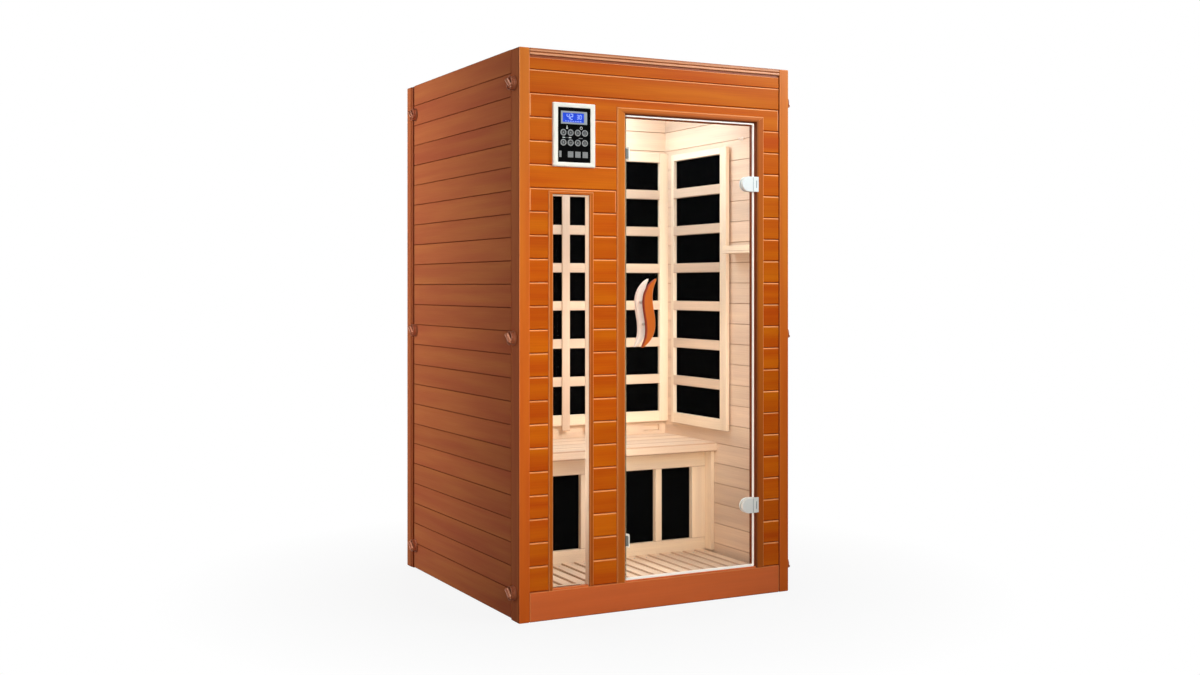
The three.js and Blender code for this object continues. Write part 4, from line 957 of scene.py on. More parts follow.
# Ceiling lamp. An opal glass dish on a white ring under the middle of the roof.
low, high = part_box("ceiling_lamp")
lamp_opal = bpy.data.materials.new("lamp_opal")
lamp_opal.use_nodes = True
opal = lamp_opal.node_tree
from_middle = step(opal, "ShaderNodeVectorMath", {0: step(opal, "ShaderNodeTexCoord").outputs["Object"], 1: (1, 1, 0)}, operation="MULTIPLY")
from_middle = step(opal, "ShaderNodeVectorMath", {0: from_middle.outputs[0]}, operation="LENGTH").outputs["Value"]
glow = step(opal, "ShaderNodeMapRange", {0: from_middle, 2: 0.055, 3: 1.0, 4: 0.6}).outputs[0]
finish = opal.nodes["Principled BSDF"]
opal.links.new(blend(opal, glow, (0.80, 0.70, 0.55, 1), (0.95, 0.90, 0.80, 1)), finish.inputs["Base Color"])
opal.links.new(blend(opal, glow, (0.70, 0.52, 0.30, 1), (1.0, 0.88, 0.68, 1)), finish.inputs["Emission Color"])
finish.inputs["Emission Strength"].default_value = 1.6
finish.inputs["Roughness"].default_value = 0.35
lamp_ring = moulded("lamp_ring", (0.80, 0.79, 0.76, 1), (0.86, 0.85, 0.83, 1), 0.4)
lamp = bmesh.new()
radius, drop = (high.x - low.x) / 2, high.z - low.z
lathe(lamp, [(0, 0), (radius, 0), (radius, -0.007), (radius - 0.002, -0.009), (radius - 0.007, -0.009), (radius - 0.007, -0.006), (0, -0.006)], 48, (0, 0, high.z), 0)
dish = [(0, -0.006)] + [
    ((radius - 0.008) * math.cos(math.pi / 2 * k / 10), -0.006 - (drop - 0.006) * math.sin(math.pi / 2 * k / 10))
    for k in range(10)
] + [(0, -drop)]
lathe(lamp, dish, 48, (0, 0, high.z), 1)
settle(piece_of("lamp_dish", lamp, lamp_ring, lamp_opal), "cabin", "ceiling_lamp", slot="lamp_diffuser")


# Door pane. A frameless sheet of clear glass with a pale soft seal pushed on its top, hinge and bottom edges.
door_low, door_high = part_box("door_glass")
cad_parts["door_glass"].data.materials.clear()
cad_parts["door_glass"].data.materials.append(clear_glass)
seal_white = moulded("seal_white", (0.80, 0.74, 0.69, 1), (0.86, 0.81, 0.76, 1), 0.5, shine=0.1)
# A faint warm glow on the seal: painted light that keeps it white; the door clips are drawn in it too.
seal_glow = seal_white.node_tree.nodes["Principled BSDF"].inputs
seal_glow["Emission Color"].default_value = (1.0, 0.90, 0.82, 1)
seal_glow["Emission Strength"].default_value = 0.32
seal = stock()
TOP_LIP, FOOT_LIP, HINGE_LIP, HINGE_CUTS = 0.0025, 0.005, 0.0030, (0.298, 0.352, 1.451, 1.505)
front, back = door_low.y - 0.0006, door_high.y + 0.0006
plank(seal, (door_low.x, front, door_high.z - TOP_LIP), (door_high.x, back, door_high.z + 0.002), 0, 0.001)
plank(seal, (door_low.x, front, door_low.z - 0.003), (door_high.x, back, door_low.z + FOOT_LIP), 0, 0.001)
levels = (door_low.z, *HINGE_CUTS, door_high.z)
for low_z, high_z in zip(levels[::2], levels[1::2]):
    near, far = door_high.x - HINGE_LIP, door_high.x + 0.001
    plank(seal, (near, front, low_z + 0.0005), (far, back, high_z - 0.0005), 2, 0.001)
settle(piece_of("door_seal", seal, seal_white), "door", slot="cream_rim")
# A stop under the head in the reveal's brown: a dark piece for painted shade under the head.
head_stop = stock()
STOP_DROP, STOP_T = 0.0065, 0.014
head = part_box("door_frame")[1].z - 0.023
plank(
    head_stop, (door_low.x + 0.002, door_high.y + 0.001, door_high.z - STOP_DROP),
    (door_high.x + 0.004, door_high.y + 0.001 + STOP_T, head - 0.0003), 0, 0.001,
)
settle(piece_of("door_head_stop", head_stop, reveal_shade_brown), "cabin", slot="stained_front")


# Door catches. Two satin magnet clips on the latch jamb stop the pane, behind its free edge: a folded plate
# with a magnet block between its cheeks.
# Satin metal is drawn near white and barely metallic: a painted reflection of the bright studio.
satin_painted_bright = moulded("satin_metal", (0.90, 0.90, 0.89, 1), (0.98, 0.98, 0.97, 1), 0.38, 300.0, 0.5, 0.1)
magnet_grey = moulded("magnet_grey", (0.16, 0.155, 0.15, 1), (0.22, 0.215, 0.21, 1), 0.45)
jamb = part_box("door_frame")[0].x + 0.033
CLIP_W, CLIP_HALF, CLIP_DEEP = 0.022, 0.023, 0.022
for level, z in (("upper", 1.567), ("lower", 0.236)):
    clip = stock()
    face = door_high.y + 0.0003
    deep, low_z, high_z = face + CLIP_DEEP, z - CLIP_HALF, z + CLIP_HALF
    plank(clip, (jamb + 0.0002, face + 0.014, low_z), (jamb + CLIP_W, deep, high_z), 2, 0.002)
    plank(clip, (jamb + 0.0002, face + 0.001, low_z), (jamb + 0.004, face + 0.0142, high_z), 2, 0.001)
    plank(clip, (jamb + CLIP_W - 0.004, face + 0.001, low_z), (jamb + CLIP_W, face + 0.0142, high_z), 2, 0.001)
    settle(piece_of("door_clip_" + level, clip, seal_white), "cabin", slot="hinge_metal")
    magnet = stock()
    plank(magnet, (jamb + 0.0042, face, z - 0.017), (jamb + CLIP_W - 0.0042, face + 0.0138, z + 0.017), 2, 0.0012)
    settle(piece_of("door_magnet_" + level, magnet, magnet_grey), "cabin", slot="black_face")


# Handles. Two wave-shaped grips sawn from board, stained outside and bare inside, bolted together through the
# pane on turned spacers.
def wave_grip(name, node, wood, front, back):
    low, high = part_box(node)
    height, width, round_over = 0.236, 0.039, 0.005
    middle, level = door_low.x + 0.075, 1.019
    profile = [(0.0, front), (0.35, front), (0.62, front)]
    shoulder = 1 - 2 * round_over / width
    for k in range(7):
        turn = math.pi / 2 * k / 6
        profile.append((shoulder + (1 - shoulder) * math.sin(turn), front + round_over * (1 - math.cos(turn))))
    profile += [(radius, front + back - depth) for radius, depth in reversed(profile)]
    bm = stock()
    steps = 72
    rings = []
    for radius, depth in profile:
        ring = []
        for k in range(1 if radius == 0 else steps):
            up = radius * math.sin(2 * math.pi * k / steps)
            side = radius * math.cos(2 * math.pi * k / steps)
            lean = 0.048 * up ** 3 - 0.021 * up
            ring.append(bm.verts.new((middle + lean + side * width / 2, depth, level + up * height / 2)))
        rings.append(ring)
    for first, second in zip(rings, rings[1:]):
        for k in range(steps):
            corners = (
                first[k % len(first)],
                first[(k + 1) % len(first)],
                second[(k + 1) % len(second)],
                second[k % len(second)],
            )
            if len(set(corners)) > 2:
                bm.faces.new(list(dict.fromkeys(corners)))
    mark(bm, bm.verts, 2, 0.45)
    grip = piece_of(name, bm, wood)
    # Painted light on the grip: a painted highlight on the faces that look right, painted shade on those that look
    # left.
    for mark_name, sign, share in (("edge", 1, 0.7), ("shade", -1, 1.0)):
        turned = [share * (sign * face.normal.x > 0.4) for face in grip.data.polygons]
        grip.data.attributes.new(mark_name, "FLOAT", "FACE").data.foreach_set("value", turned)
    return settle(grip, "door", node)


GRIP_T = 0.016
low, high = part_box("outer_handle")
grip_stain = timber(
    "grip_stain", (0.70, 0.155, 0.020, 1), (0.55, 0.100, 0.010, 1), (0.95, 0.46, 0.24, 1), (0.48, 0.085, 0.045, 1), 0.15, 0.4
)
wave_grip("outer_grip", "outer_handle", grip_stain, low.y, low.y + GRIP_T)
outer_back = low.y + GRIP_T
low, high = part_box("inner_handle")
glowing_grip_bare = timber(
    "glowing_grip_bare", (0.98, 0.80, 0.71, 1), (0.88, 0.66, 0.55, 1), (0.80, 0.50, 0.40, 1), (0.97, 0.82, 0.74, 1), 0.2, 0.4
)
# The bare grip glows faintly: painted light on the inner grip seen through the pane.
glowing_grip_bare.node_tree.nodes["Principled BSDF"].inputs["Emission Color"].default_value = (1.0, 0.86, 0.78, 1)
glowing_grip_bare.node_tree.nodes["Principled BSDF"].inputs["Emission Strength"].default_value = 0.15
wave_grip("inner_grip", "inner_handle", glowing_grip_bare, high.y - GRIP_T, high.y)
inner_front = high.y - GRIP_T
spacers = bmesh.new()
for x, z in ((-0.0642, 1.057), (-0.0538, 0.981)):
    for near, far in ((outer_back - 0.0005, door_low.y - 0.0003), (door_high.y + 0.0003, inner_front + 0.0005)):
        one = bmesh.new()
        depth = far - near
        lathe(one, [(0, 0), (0.0065, 0), (0.0065, depth * 0.25), (0.005, depth * 0.5), (0.0065, depth * 0.75), (0.0065, depth), (0, depth)], 24)
        one.transform(Matrix.Translation((x, near, z)) @ Matrix.Rotation(-math.pi / 2, 4, "X"))
        part = bpy.data.meshes.new("spacer")
        one.to_mesh(part)
        one.free()
        spacers.from_mesh(part)
        bpy.data.meshes.remove(part)
settle(piece_of("grip_spacers", spacers, satin_painted_bright), "door", slot="hinge_metal")


# Hinges. Satin D-shaped clamps hold the pane and turn on a pin; a narrow leaf with the outer knuckles is screwed
# to the jamb.
knuckle_grey = moulded("knuckle_grey", (0.42, 0.44, 0.47, 1), (0.52, 0.54, 0.56, 1), 0.35, 300.0, 0.5, 0.4)
SEAM_X = 0.3775
for level, z in (("upper", 1.478), ("lower", 0.325)):
    node = "hinge_" + level + "_clamp"
    low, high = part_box(node)
    half, right = 0.027, door_high.x + 0.0033
    for side, front, back in (("front", low.y, door_low.y - 0.0003), ("back", door_high.y + 0.0003, high.y)):
        bm = bmesh.new()
        outline = [(right, z - half), (right, z + half)]
        outline += [
            (low.x + half - half * math.sin(math.pi * k / 32), z + half * math.cos(math.pi * k / 32)) for k in range(33)
        ]
        face = bm.faces.new([bm.verts.new((x, front, y)) for x, y in outline])
        grown = bmesh.ops.extrude_face_region(bm, geom=[face])["geom"]
        bmesh.ops.translate(bm, verts=[v for v in grown if isinstance(v, bmesh.types.BMVert)], vec=(0, back - front, 0))
        rims = [e for e in bm.edges if abs(e.verts[0].co.y - e.verts[1].co.y) < 1e-6]
        bmesh.ops.bevel(bm, geom=rims, offset=0.0012, segments=3, profile=0.5, affect="EDGES")
        plate = settle(piece_of("hinge_" + level + "_" + side + "_plate", bm, satin_painted_bright), "door", slot="hinge_metal")
        if side == "front":
            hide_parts(node)
    seam = stock()
    plank(seam, (SEAM_X, low.y - 0.0002, z - half + 0.0012), (SEAM_X + 0.0022, low.y + 0.001, z + half - 0.0012), 2, 0.0001)
    settle(piece_of("hinge_" + level + "_seam", seam, knuckle_grey), "door", slot="hinge_metal")
    screws("hinge_" + level + "_clamp_screws", "door", [(low.x + 0.022, high.y, z + 0.011), (low.x + 0.022, high.y, z - 0.011)], (-math.pi / 2, 0, 0), 0.0042)
    leaf_node = "hinge_" + level + "_leaf"
    low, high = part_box(leaf_node)
    leaf = stock()
    plank(leaf, (0.398, low.y + 0.0045, low.z), (high.x, high.y, high.z), 2, 0.0008)
    bodies = {"cabin": leaf, "door": bmesh.new()}
    pin = (0.3925, -0.5488)
    for body, z0, z1 in (("cabin", -half, -half / 2), ("door", -half / 2 + 0.0003, half / 2 - 0.0003), ("cabin", half / 2, half)):
        depth = z1 - z0
        lathe(bodies[body], [(0, 0), (0.0037, 0), (0.0045, 0.0008), (0.0045, depth - 0.0008), (0.0037, depth), (0, depth)], 24, (*pin, z + z0))
        if body == "cabin":
            plank(leaf, (pin[0], pin[1] + 0.0012, z + z0), (0.3985, high.y, z + z1), 2, 0.0006)
    settle(piece_of(leaf_node + "_plate", leaf, satin_painted_bright), "cabin", leaf_node, slot="hinge_metal")
    settle(piece_of("hinge_" + level + "_knuckle", bodies["door"], knuckle_grey), "door", slot="hinge_metal")


# Control panel. A cream moulded rim on the boards, a glossy black face with printed marks, a blue backlit
# display in a grey bezel, and eight round keys with a raised ring and a symbol each.
rim_cream = moulded("rim_cream", (0.98, 0.91, 0.82, 1), (1.0, 0.96, 0.90, 1), 0.42, 500.0)
low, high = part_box("control_frame")
face_low, face_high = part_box("control_face")
PANEL_ROUND = 0.004


def ring_at(x0, x1, z0, z1, radius, y):
    points = []
    for cx, cz, first in ((x1 - radius, z0 + radius, -90), (x1 - radius, z1 - radius, 0), (x0 + radius, z1 - radius, 90), (x0 + radius, z0 + radius, 180)):
        for k in range(7):
            turn = math.radians(first + 15 * k)
            points.append((cx + radius * math.cos(turn), y, cz + radius * math.sin(turn)))
    return points


def loft(bm, rings):
    """Joins rings of points into a closed band that comes back to its first ring."""
    loops = [[bm.verts.new(point) for point in ring] for ring in rings]
    for first, second in zip(loops, loops[1:] + loops[:1]):
        for k in range(len(first)):
            after = (k + 1) % len(first)
            bm.faces.new((first[k], first[after], second[after], second[k]))
    return bm


inner = (face_low.x - 0.0002, face_high.x + 0.0002, face_low.z - 0.0002, face_high.z + 0.0002)
outer = (low.x, high.x, low.z, high.z)
rings = [ring_at(*outer, PANEL_ROUND, high.y)]
for k in range(7):
    turn = math.pi / 2 * k / 6
    inset = 0.005 * (1 - math.cos(turn))
    rings.append(ring_at(outer[0] + inset, outer[1] - inset, outer[2] + inset, outer[3] - inset, PANEL_ROUND, low.y + 0.005 * (1 - math.sin(turn))))
rings.append(ring_at(inner[0] - 0.0025, inner[1] + 0.0025, inner[2] - 0.0025, inner[3] + 0.0025, 0.002, low.y))
rings.append(ring_at(*inner, 0.0008, low.y + 0.0018))
rings.append(ring_at(*inner, 0.0008, high.y))
settle(piece_of("control_rim", loft(bmesh.new(), rings), rim_cream), "cabin", "control_frame", slot="cream_rim")

face_black = moulded("face_black", (0.002, 0.002, 0.0022, 1), (0.004, 0.004, 0.0045, 1), 0.3, 90.0, 0.02)
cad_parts["control_face"].data.materials.clear()
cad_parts["control_face"].data.materials.append(face_black)

print_white = moulded("print_white", (0.72, 0.72, 0.70, 1), (0.80, 0.80, 0.78, 1), 0.5)
print_grey = moulded("print_grey", (0.20, 0.20, 0.21, 1), (0.30, 0.30, 0.31, 1), 0.5)


def marks(name, shapes, y, body, slot, *materials):
    """Thin printed marks on a face that looks forward. A shape is its (x, z) outline and its material's number."""
    bm = bmesh.new()
    for outline, number in shapes:
        front = bm.faces.new([bm.verts.new((x, y - 0.00012, z)) for x, z in outline])
        front.material_index = number
        grown = bmesh.ops.extrude_face_region(bm, geom=[front])["geom"]
        bmesh.ops.translate(bm, verts=[v for v in grown if isinstance(v, bmesh.types.BMVert)], vec=(0, 0.0001, 0))
    return settle(piece_of(name, bm, *materials), body, slot=slot)


def box_mark(x, z, width, height):
    return [(x - width / 2, z - height / 2), (x + width / 2, z - height / 2), (x + width / 2, z + height / 2), (x - width / 2, z + height / 2)]


def ring_marks(x, z, radius, thick, first=0, last=360, steps=24):
    """A printed ring or arc, as short straight marks."""
    pieces = []
    for k in range(steps):
        a, b = (math.radians(first + (last - first) * j / steps) for j in (k, k + 1))
        near, far = radius - thick / 2, radius + thick / 2
        pieces.append([(x + r * math.cos(t), z + r * math.sin(t)) for r, t in ((near, a), (far, a), (far, b), (near, b))])
    return pieces


display_low, display_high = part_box("display")
lcd_blue = bpy.data.materials.new("lcd_blue")
lcd_blue.use_nodes = True
lcd = lcd_blue.node_tree
where = step(lcd, "ShaderNodeTexCoord").outputs["Object"]
uneven = stretched_noise(lcd, where, (60.0, 60.0, 60.0), 1.0)
finish = lcd.nodes["Principled BSDF"]
lcd.links.new(blend(lcd, uneven, (0.008, 0.03, 0.42, 1), (0.02, 0.07, 0.60, 1)), finish.inputs["Base Color"])
lcd.links.new(blend(lcd, uneven, (0.010, 0.04, 0.62, 1), (0.04, 0.12, 0.85, 1)), finish.inputs["Emission Color"])
finish.inputs["Emission Strength"].default_value = 0.40
finish.inputs["Roughness"].default_value = 0.25
bezel_grey = moulded("bezel_grey", (0.30, 0.33, 0.38, 1), (0.40, 0.43, 0.47, 1), 0.4)
digit_pale = bpy.data.materials.new("digit_pale")
digit_pale.use_nodes = True
pale = digit_pale.node_tree
fade = stretched_noise(pale, step(pale, "ShaderNodeTexCoord").outputs["Object"], (400.0, 400.0, 400.0), 1.0)
for name in ("Base Color", "Emission Color"):
    pale.links.new(blend(pale, fade, (0.26, 0.38, 0.95, 1), (0.46, 0.60, 1.0, 1)), pale.nodes["Principled BSDF"].inputs[name])
pale.nodes["Principled BSDF"].inputs["Emission Strength"].default_value = 0.15

box = (display_low.x, display_high.x, display_low.z, display_high.z)
glass_box = (box[0] + 0.007, box[1] - 0.012, box[2] + 0.006, box[3] - 0.006)
front, back = display_low.y, display_high.y
rings = [
    ring_at(*box, 0.0015, back),
    ring_at(*box, 0.0015, front + 0.0006),
    ring_at(box[0] + 0.0006, box[1] - 0.0006, box[2] + 0.0006, box[3] - 0.0006, 0.0015, front),
    ring_at(glass_box[0] - 0.001, glass_box[1] + 0.001, glass_box[2] - 0.001, glass_box[3] + 0.001, 0.0012, front),
    ring_at(*glass_box, 0.0008, front + 0.0012),
    ring_at(*glass_box, 0.0008, back),
]
settle(piece_of("display_bezel", loft(bmesh.new(), rings), bezel_grey), "cabin", "display", slot="blue_display")
screen = stock()
plank(screen, (glass_box[0], front + 0.001, glass_box[2]), (glass_box[1], back, glass_box[3]), 0, 0.0003)
settle(piece_of("display_screen", screen, lcd_blue), "cabin", slot="blue_display")

SEGMENTS = {"2": "abged", "3": "abgcd", "0": "abcdef", "4": "fgbc"}


def digit(number, x, z, width, height, thick):
    """The lit bars of one seven-bar digit, as (x, z) outlines."""
    spots = {
        "a": (0, height / 2, width, thick), "g": (0, 0, width, thick), "d": (0, -height / 2, width, thick),
        "b": (width / 2, height / 4, thick, height / 2), "c": (width / 2, -height / 4, thick, height / 2),
        "f": (-width / 2, height / 4, thick, height / 2), "e": (-width / 2, -height / 4, thick, height / 2),
    }
    return [box_mark(x + dx, z + dz, w * 0.86, h * 0.86) for dx, dz, w, h in (spots[s] for s in SEGMENTS[number])]


lit = []
for number, x, height in (("4", 0.020, 0.018), ("2", 0.033, 0.018), ("3", 0.056, 0.013), ("0", 0.066, 0.013)):
    lit += digit(number, glass_box[0] + x, glass_box[2] + 0.0185, height * 0.48, height, height * 0.17)
lit += [box_mark(glass_box[0] + 0.012 + 0.009 * k, glass_box[2] + 0.0035, 0.006, 0.002) for k in range(7)]
marks("display_digits", [(outline, 0) for outline in lit], front + 0.001, "cabin", "blue_display", digit_pale)

key_ring = moulded("key_ring", (0.30, 0.30, 0.31, 1), (0.38, 0.38, 0.39, 1), 0.35, 400.0)
key_dish = moulded("key_dish", (0.035, 0.034, 0.036, 1), (0.055, 0.054, 0.056, 1), 0.4, 400.0)
key_symbols = []
for i in range(8):
    low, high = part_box("key_%d" % (i + 1))
    x, z = (low.x + high.x) / 2, (low.z + high.z) / 2
    radius, depth = (high.x - low.x) / 2, high.y - low.y
    key = bmesh.new()
    lathe(key, [(0, 0), (radius, 0), (radius, depth - 0.0008), (radius - 0.0008, depth), (radius - 0.0026, depth), (radius - 0.0034, depth - 0.0007)], 40, material=0)
    lathe(key, [(radius - 0.0034, depth - 0.0007), (radius * 0.4, depth - 0.0010), (0, depth - 0.0011)], 40, material=1)
    bmesh.ops.remove_doubles(key, verts=key.verts, dist=1e-6)
    key.transform(Matrix.Translation((x, high.y, z)) @ Matrix.Rotation(math.pi / 2, 4, "X"))
    settle(piece_of("key_cap_%d" % (i + 1), key, key_ring, key_dish), "key_%d" % (i + 1), "key_%d" % (i + 1), slot="key_grey")
    arrow = [(x - 0.0032, z - 0.002), (x + 0.0032, z - 0.002), (x, z + 0.0034)]
    flipped = [(a, 2 * z - b) for a, b in reversed(arrow)]
    symbols = (
        [arrow],
        [flipped],
        [box_mark(x, z, 0.008, 0.0016), box_mark(x, z, 0.0016, 0.008)],
        ring_marks(x, z, 0.0034, 0.0013, 120, 420, 18) + [box_mark(x, z + 0.003, 0.0013, 0.0042)],
        [box_mark(x, z + 0.0012, 0.0048, 0.0048), box_mark(x, z - 0.0026, 0.003, 0.0016)],
        [box_mark(x, z, 0.008, 0.0016)],
        [[(x - 0.002, z - 0.0034), (x + 0.0034, z), (x - 0.002, z + 0.0034)]],
        ring_marks(x, z, 0.0036, 0.0012, steps=18) + [box_mark(x + 0.001, z, 0.003, 0.0011), box_mark(x, z + 0.001, 0.0011, 0.003)],
    )[i]
    marks("key_symbol_%d" % (i + 1), [(outline, 0) for outline in symbols], high.y - depth + 0.0009, "key_%d" % (i + 1), "key_grey", print_grey)

face = face_low.y
row_z = 1.553
printed = [(box_mark(-0.387, row_z, 0.008, 0.021), 1)]
for x in (-0.349, -0.3215, -0.294):
    printed += [(box_mark(x, row_z, 0.020, 0.020), 1)]
printed += [(box_mark(-0.3623, 1.6445, 0.003, 0.008), 0), (box_mark(-0.3623, 1.640, 0.006, 0.004), 0)]
printed += [(outline, 0) for outline in ring_marks(-0.309, 1.6425, 0.0042, 0.0016)]
printed += [(box_mark(-0.374, 1.609, 0.010, 0.0025), 0), (box_mark(-0.3623, 1.609, 0.003, 0.0025), 1), (box_mark(-0.351, 1.609, 0.010, 0.0028), 0)]
printed += [(box_mark(-0.311, 1.608, 0.014, 0.0022), 1)]
marks("face_prints", printed, face, "cabin", "black_face", print_white, print_grey)
signs = []
for k, x in enumerate((-0.349, -0.3215, -0.294)):
    for j in range(3):
        signs.append((box_mark(x, row_z + 0.0055 - 0.0055 * j, 0.012 - 0.002 * ((j + k) % 3), 0.0016), 0))
marks("face_signs", signs, face - 0.00012, "cabin", "black_face", magnet_grey)


# Wall sensor. A small temperature probe with a round clip on the right lining, above the guard.
probe = bmesh.new()
lathe(probe, [(0, 0), (0.0065, 0), (0.0065, 0.003), (0.0045, 0.005), (0.0045, 0.014), (0.003, 0.0165), (0, 0.0165)], 24)
probe.transform(Matrix.Translation((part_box("right_wall_lining")[0].x, -0.310, 1.670)) @ Matrix.Rotation(-math.pi / 2, 4, "Y"))
settle(piece_of("wall_probe", probe, satin_painted_bright), "cabin", slot="hinge_metal")


# Twist locks. Copper-plated knobs that draw the panels together: a turned cup with a rolled rim, dished, and a
# thick finger bar across it, three at the front and three at the rear of each side.
# Two coppers: a darker one for the cup and a bright one for the raised bar, painted shade and a painted highlight.
shaded_copper = moulded("shaded_copper", (0.40, 0.12, 0.058, 1), (0.52, 0.18, 0.095, 1), 0.32, 120.0, 0.5, 0.4)
lit_bar_copper = moulded("lit_bar_copper", (0.94, 0.44, 0.28, 1), (1.0, 0.60, 0.42, 1), 0.28, 120.0, 0.5, 0.2)
CUP_R, CUP_H, BAR_HALF, BAR_W, BAR_H, BAR_TILT = 0.0245, 0.017, 0.0218, 0.014, 0.026, 40
cup = [(0, 0), (CUP_R, 0), (CUP_R, 0.0025), (0.0222, 0.0045), (0.0216, 0.0105), (0.0232, 0.0135), (0.0238, 0.0152)]
cup += [(0.0232, 0.0165), (0.0220, CUP_H), (0.0206, 0.0166), (0.0196, 0.0150), (0.0180, 0.0125), (0.0150, 0.012), (0, 0.012)]
for node in sorted(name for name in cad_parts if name.startswith("lock_")):
    low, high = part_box(node)
    sign = 1 if "right" in node else -1
    centre = Vector((low.x if sign > 0 else high.x, (low.y + high.y) / 2, (low.z + high.z) / 2))
    lock = lathe(bmesh.new(), cup, 48)
    corners = bmesh.ops.create_cube(lock, size=1)["verts"]
    for face in {face for vert in corners for face in vert.link_faces}:
        face.material_index = 1
    for vert in corners:
        above = vert.co.z > 0
        vert.co = (2 * BAR_HALF * vert.co.x, BAR_W * vert.co.y * (0.8 if above else 1.0), BAR_H if above else 0.0115)
    edges = list({edge for vert in corners for edge in vert.link_edges})
    bmesh.ops.bevel(lock, geom=edges, offset=0.0045, segments=4, profile=0.5, affect="EDGES")
    turn = Matrix.Rotation(math.radians(BAR_TILT), 4, "X") @ Matrix(((0, 0, sign), (1, 0, 0), (0, sign, 0))).to_4x4()
    lock.transform(Matrix.Translation(centre) @ turn)
    settle(piece_of(node + "_knob", lock, shaded_copper, lit_bar_copper), node, node, slot="lock_bronze")


# Studio. A pale floor under a white backdrop, one large soft lamp in front, a soft one above, and a small one
# inside the cabin where its own lamp hangs; the camera stands front left at chest height.
floor_paper = bpy.data.materials.new("floor_paper")
floor_paper.use_nodes = True
paper = floor_paper.node_tree
paper.nodes.remove(paper.nodes["Principled BSDF"])
flat = step(paper, "ShaderNodeTexCoord").outputs["Object"]
speckle = stretched_noise(paper, flat, (60.0, 60.0, 60.0), 2.0)
matt = step(paper, "ShaderNodeBsdfDiffuse", {"Color": blend(paper, speckle, (0.42, 0.42, 0.42, 1), (0.46, 0.46, 0.46, 1))})
white = step(paper, "ShaderNodeEmission", {"Color": (1, 1, 1, 1), "Strength": 1.0})
away = step(paper, "ShaderNodeVectorMath", {0: flat}, operation="LENGTH").outputs["Value"]
fade = spread(paper, away, 0.9, 1.0, 0.7, 1.6)
ray = step(paper, "ShaderNodeLightPath").outputs
seen = calc(paper, "MAXIMUM", ray["Is Camera Ray"], ray["Is Transmission Ray"])
mixed = step(paper, "ShaderNodeMixShader", {0: calc(paper, "MULTIPLY", seen, fade), 1: matt.outputs[0], 2: white.outputs[0]})
paper.links.new(mixed.outputs[0], paper.nodes["Material Output"].inputs["Surface"])
ground = bmesh.new()
bmesh.ops.create_circle(ground, cap_ends=True, segments=64, radius=12.0)
ground = piece_of("studio_floor", ground, floor_paper)
ground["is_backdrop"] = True

world = bpy.data.worlds.new("studio")
world.use_nodes = True
bpy.context.scene.world = world
sky = world.node_tree
ray = step(sky, "ShaderNodeLightPath").outputs
seen = calc(sky, "MAXIMUM", ray["Is Camera Ray"], ray["Is Transmission Ray"])
dim = spread(sky, ray["Is Glossy Ray"], 0.10, 0.04)
sky.links.new(spread(sky, seen, dim, 1.0), sky.nodes["Background"].inputs["Strength"])
sky.nodes["Background"].inputs["Color"].default_value = (1, 1, 1, 1)


def lamp_at(name, place, aim, size, power, beam=180, colour=(1, 1, 1), tall=None):
    """A softbox, square or this tall; a beam narrower than 180 degrees is a grid in front of it."""
    light = bpy.data.lights.new(name, "AREA")
    light.shape = "RECTANGLE"
    light.size, light.size_y = size, tall or size
    light.energy = power
    light.color = colour
    light.spread = math.radians(beam)
    held = bpy.data.objects.new(name, light)
    held.location = place
    held.rotation_euler = (Vector(aim) - Vector(place)).to_track_quat("-Z", "Y").to_euler()
    bpy.context.scene.collection.objects.link(held)
    return held


WARM, COOL, BOUNCE = (1.0, 0.82, 0.60), (0.84, 0.96, 1.0), (1.0, 0.91, 0.83)
CEILING = (0.70, 0.88, 1.0)
lamp_at("front_softbox", (-0.9, -4.4, 3.2), (-0.3, -0.54, 2.05), 2.0, 14.0, 70, COOL)
lamp_at("left_softbox", (-1.2, -3.6, 1.2), (-0.45, -0.54, 1.0), 1.0, 2.0, 50, WARM)
lamp_at("high_softbox", (2.0, -2.4, 2.9), (0.45, -0.54, 1.75), 0.8, 10.0, 70, COOL)
lamp_at("low_softbox", (-0.9, -3.2, 0.9), (-0.5, -0.54, 0.5), 1.0, 3.0, 70, WARM)
lamp_at("side_strip", (-3.0, 1.3, 2.0), (-0.54, 0.60, 1.85), 0.5, 14.0, 64, tall=2.6)
lamp_at("side_low_softbox", (-2.2, 0.8, 0.5), (-0.54, 0.35, 0.10), 0.6, 1.2, 70)
lamp_at("right_softbox", (3.2, 0.6, 1.8), (0.54, 0.1, 0.9), 1.2, 16, 90)
lamp_at("rear_softbox", (0.6, 3.4, 1.8), (0, 0.55, 0.9), 1.2, 16, 90)
lamp_at("top_softbox", (-0.5, -1.0, 4.6), (0, 0, 0.9), 2.5, 17)
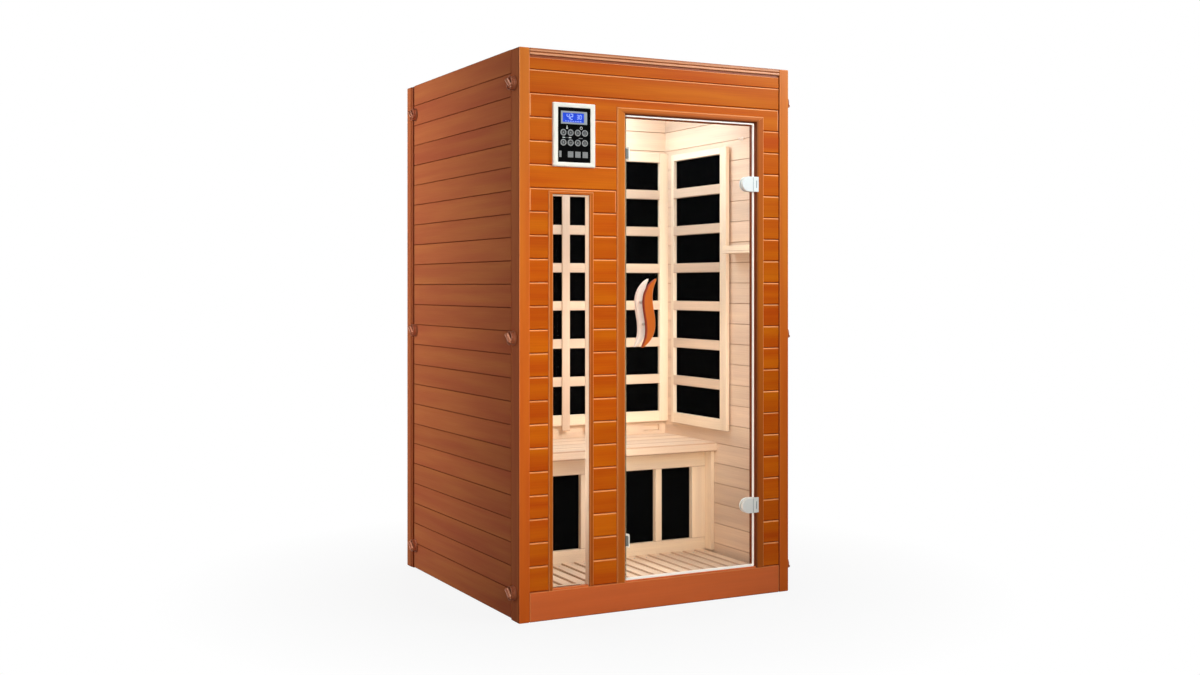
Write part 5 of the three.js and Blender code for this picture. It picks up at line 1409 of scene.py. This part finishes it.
card = lamp_at("gloss_card", (3.4, -4.2, 3.6), (0.3, -0.5, 1.8), 1.6, 12)
card.visible_diffuse = False
ceiling_glow = lamp_at("ceiling_glow", (0.0, -0.05, 1.84), (0.0, -0.05, 0.0), 0.5, 3.8, 180, CEILING)
door_fill = lamp_at("door_fill", (0.12, -0.42, 1.00), (0.1, 0.30, 0.75), 0.26, 2.0, 120, BOUNCE)
jamb_glow = lamp_at("jamb_glow", (-0.46, -0.44, 0.95), (0.0, -0.50, 0.95), 0.06, 0.8, 120, BOUNCE, 1.3)
stile_glow = lamp_at("stile_glow", (0.42, -0.46, 1.10), (0.478, -0.23, 1.10), 0.05, 0.3, 90, BOUNCE, 1.2)
inner_lamps = [ceiling_glow, door_fill, jamb_glow, stile_glow]
for name, place, power, colour in (
    ("cabin_glow", (0.02, 0.0, 1.76), 2.6, CEILING),
    ("corner_glow", (0.20, 0.10, 1.80), 1.8, CEILING),
    ("shelf_glow", (0.33, -0.18, 1.80), 0.8, CEILING),
    ("lining_glow", (0.15, -0.38, 1.40), 0.3, BOUNCE),
    ("bench_glow", (0.0, -0.32, 0.62), 0.5, BOUNCE),
    ("floor_glow", (0.1, -0.36, 0.28), 0.6, BOUNCE),
    ("sill_glow", (-0.16, -0.34, 0.30), 0.5, BOUNCE),
):
    glow = bpy.data.lights.new(name, "POINT")
    glow.energy = power
    glow.shadow_soft_size = 0.12
    glow.color = colour
    spot = bpy.data.objects.new(name, glow)
    spot.location = place
    bpy.context.scene.collection.objects.link(spot)
    inner_lamps.append(spot)
for lamp in inner_lamps:
    lamp.visible_camera = lamp.visible_glossy = lamp.visible_transmission = False

camera = bpy.data.cameras.new("camera")
camera.lens = 41.303
camera.sensor_width = 36.0
camera.shift_y = -0.0421
stand = bpy.data.objects.new("camera", camera)
stand.location = (-2.38977, -4.68168, 1.10881)
stand.rotation_euler = (math.radians(90), 0, math.radians(-27.4878))
bpy.context.scene.collection.objects.link(stand)
bpy.context.scene.camera = stand
bpy.context.scene.view_settings.view_transform = "Standard"

low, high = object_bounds()
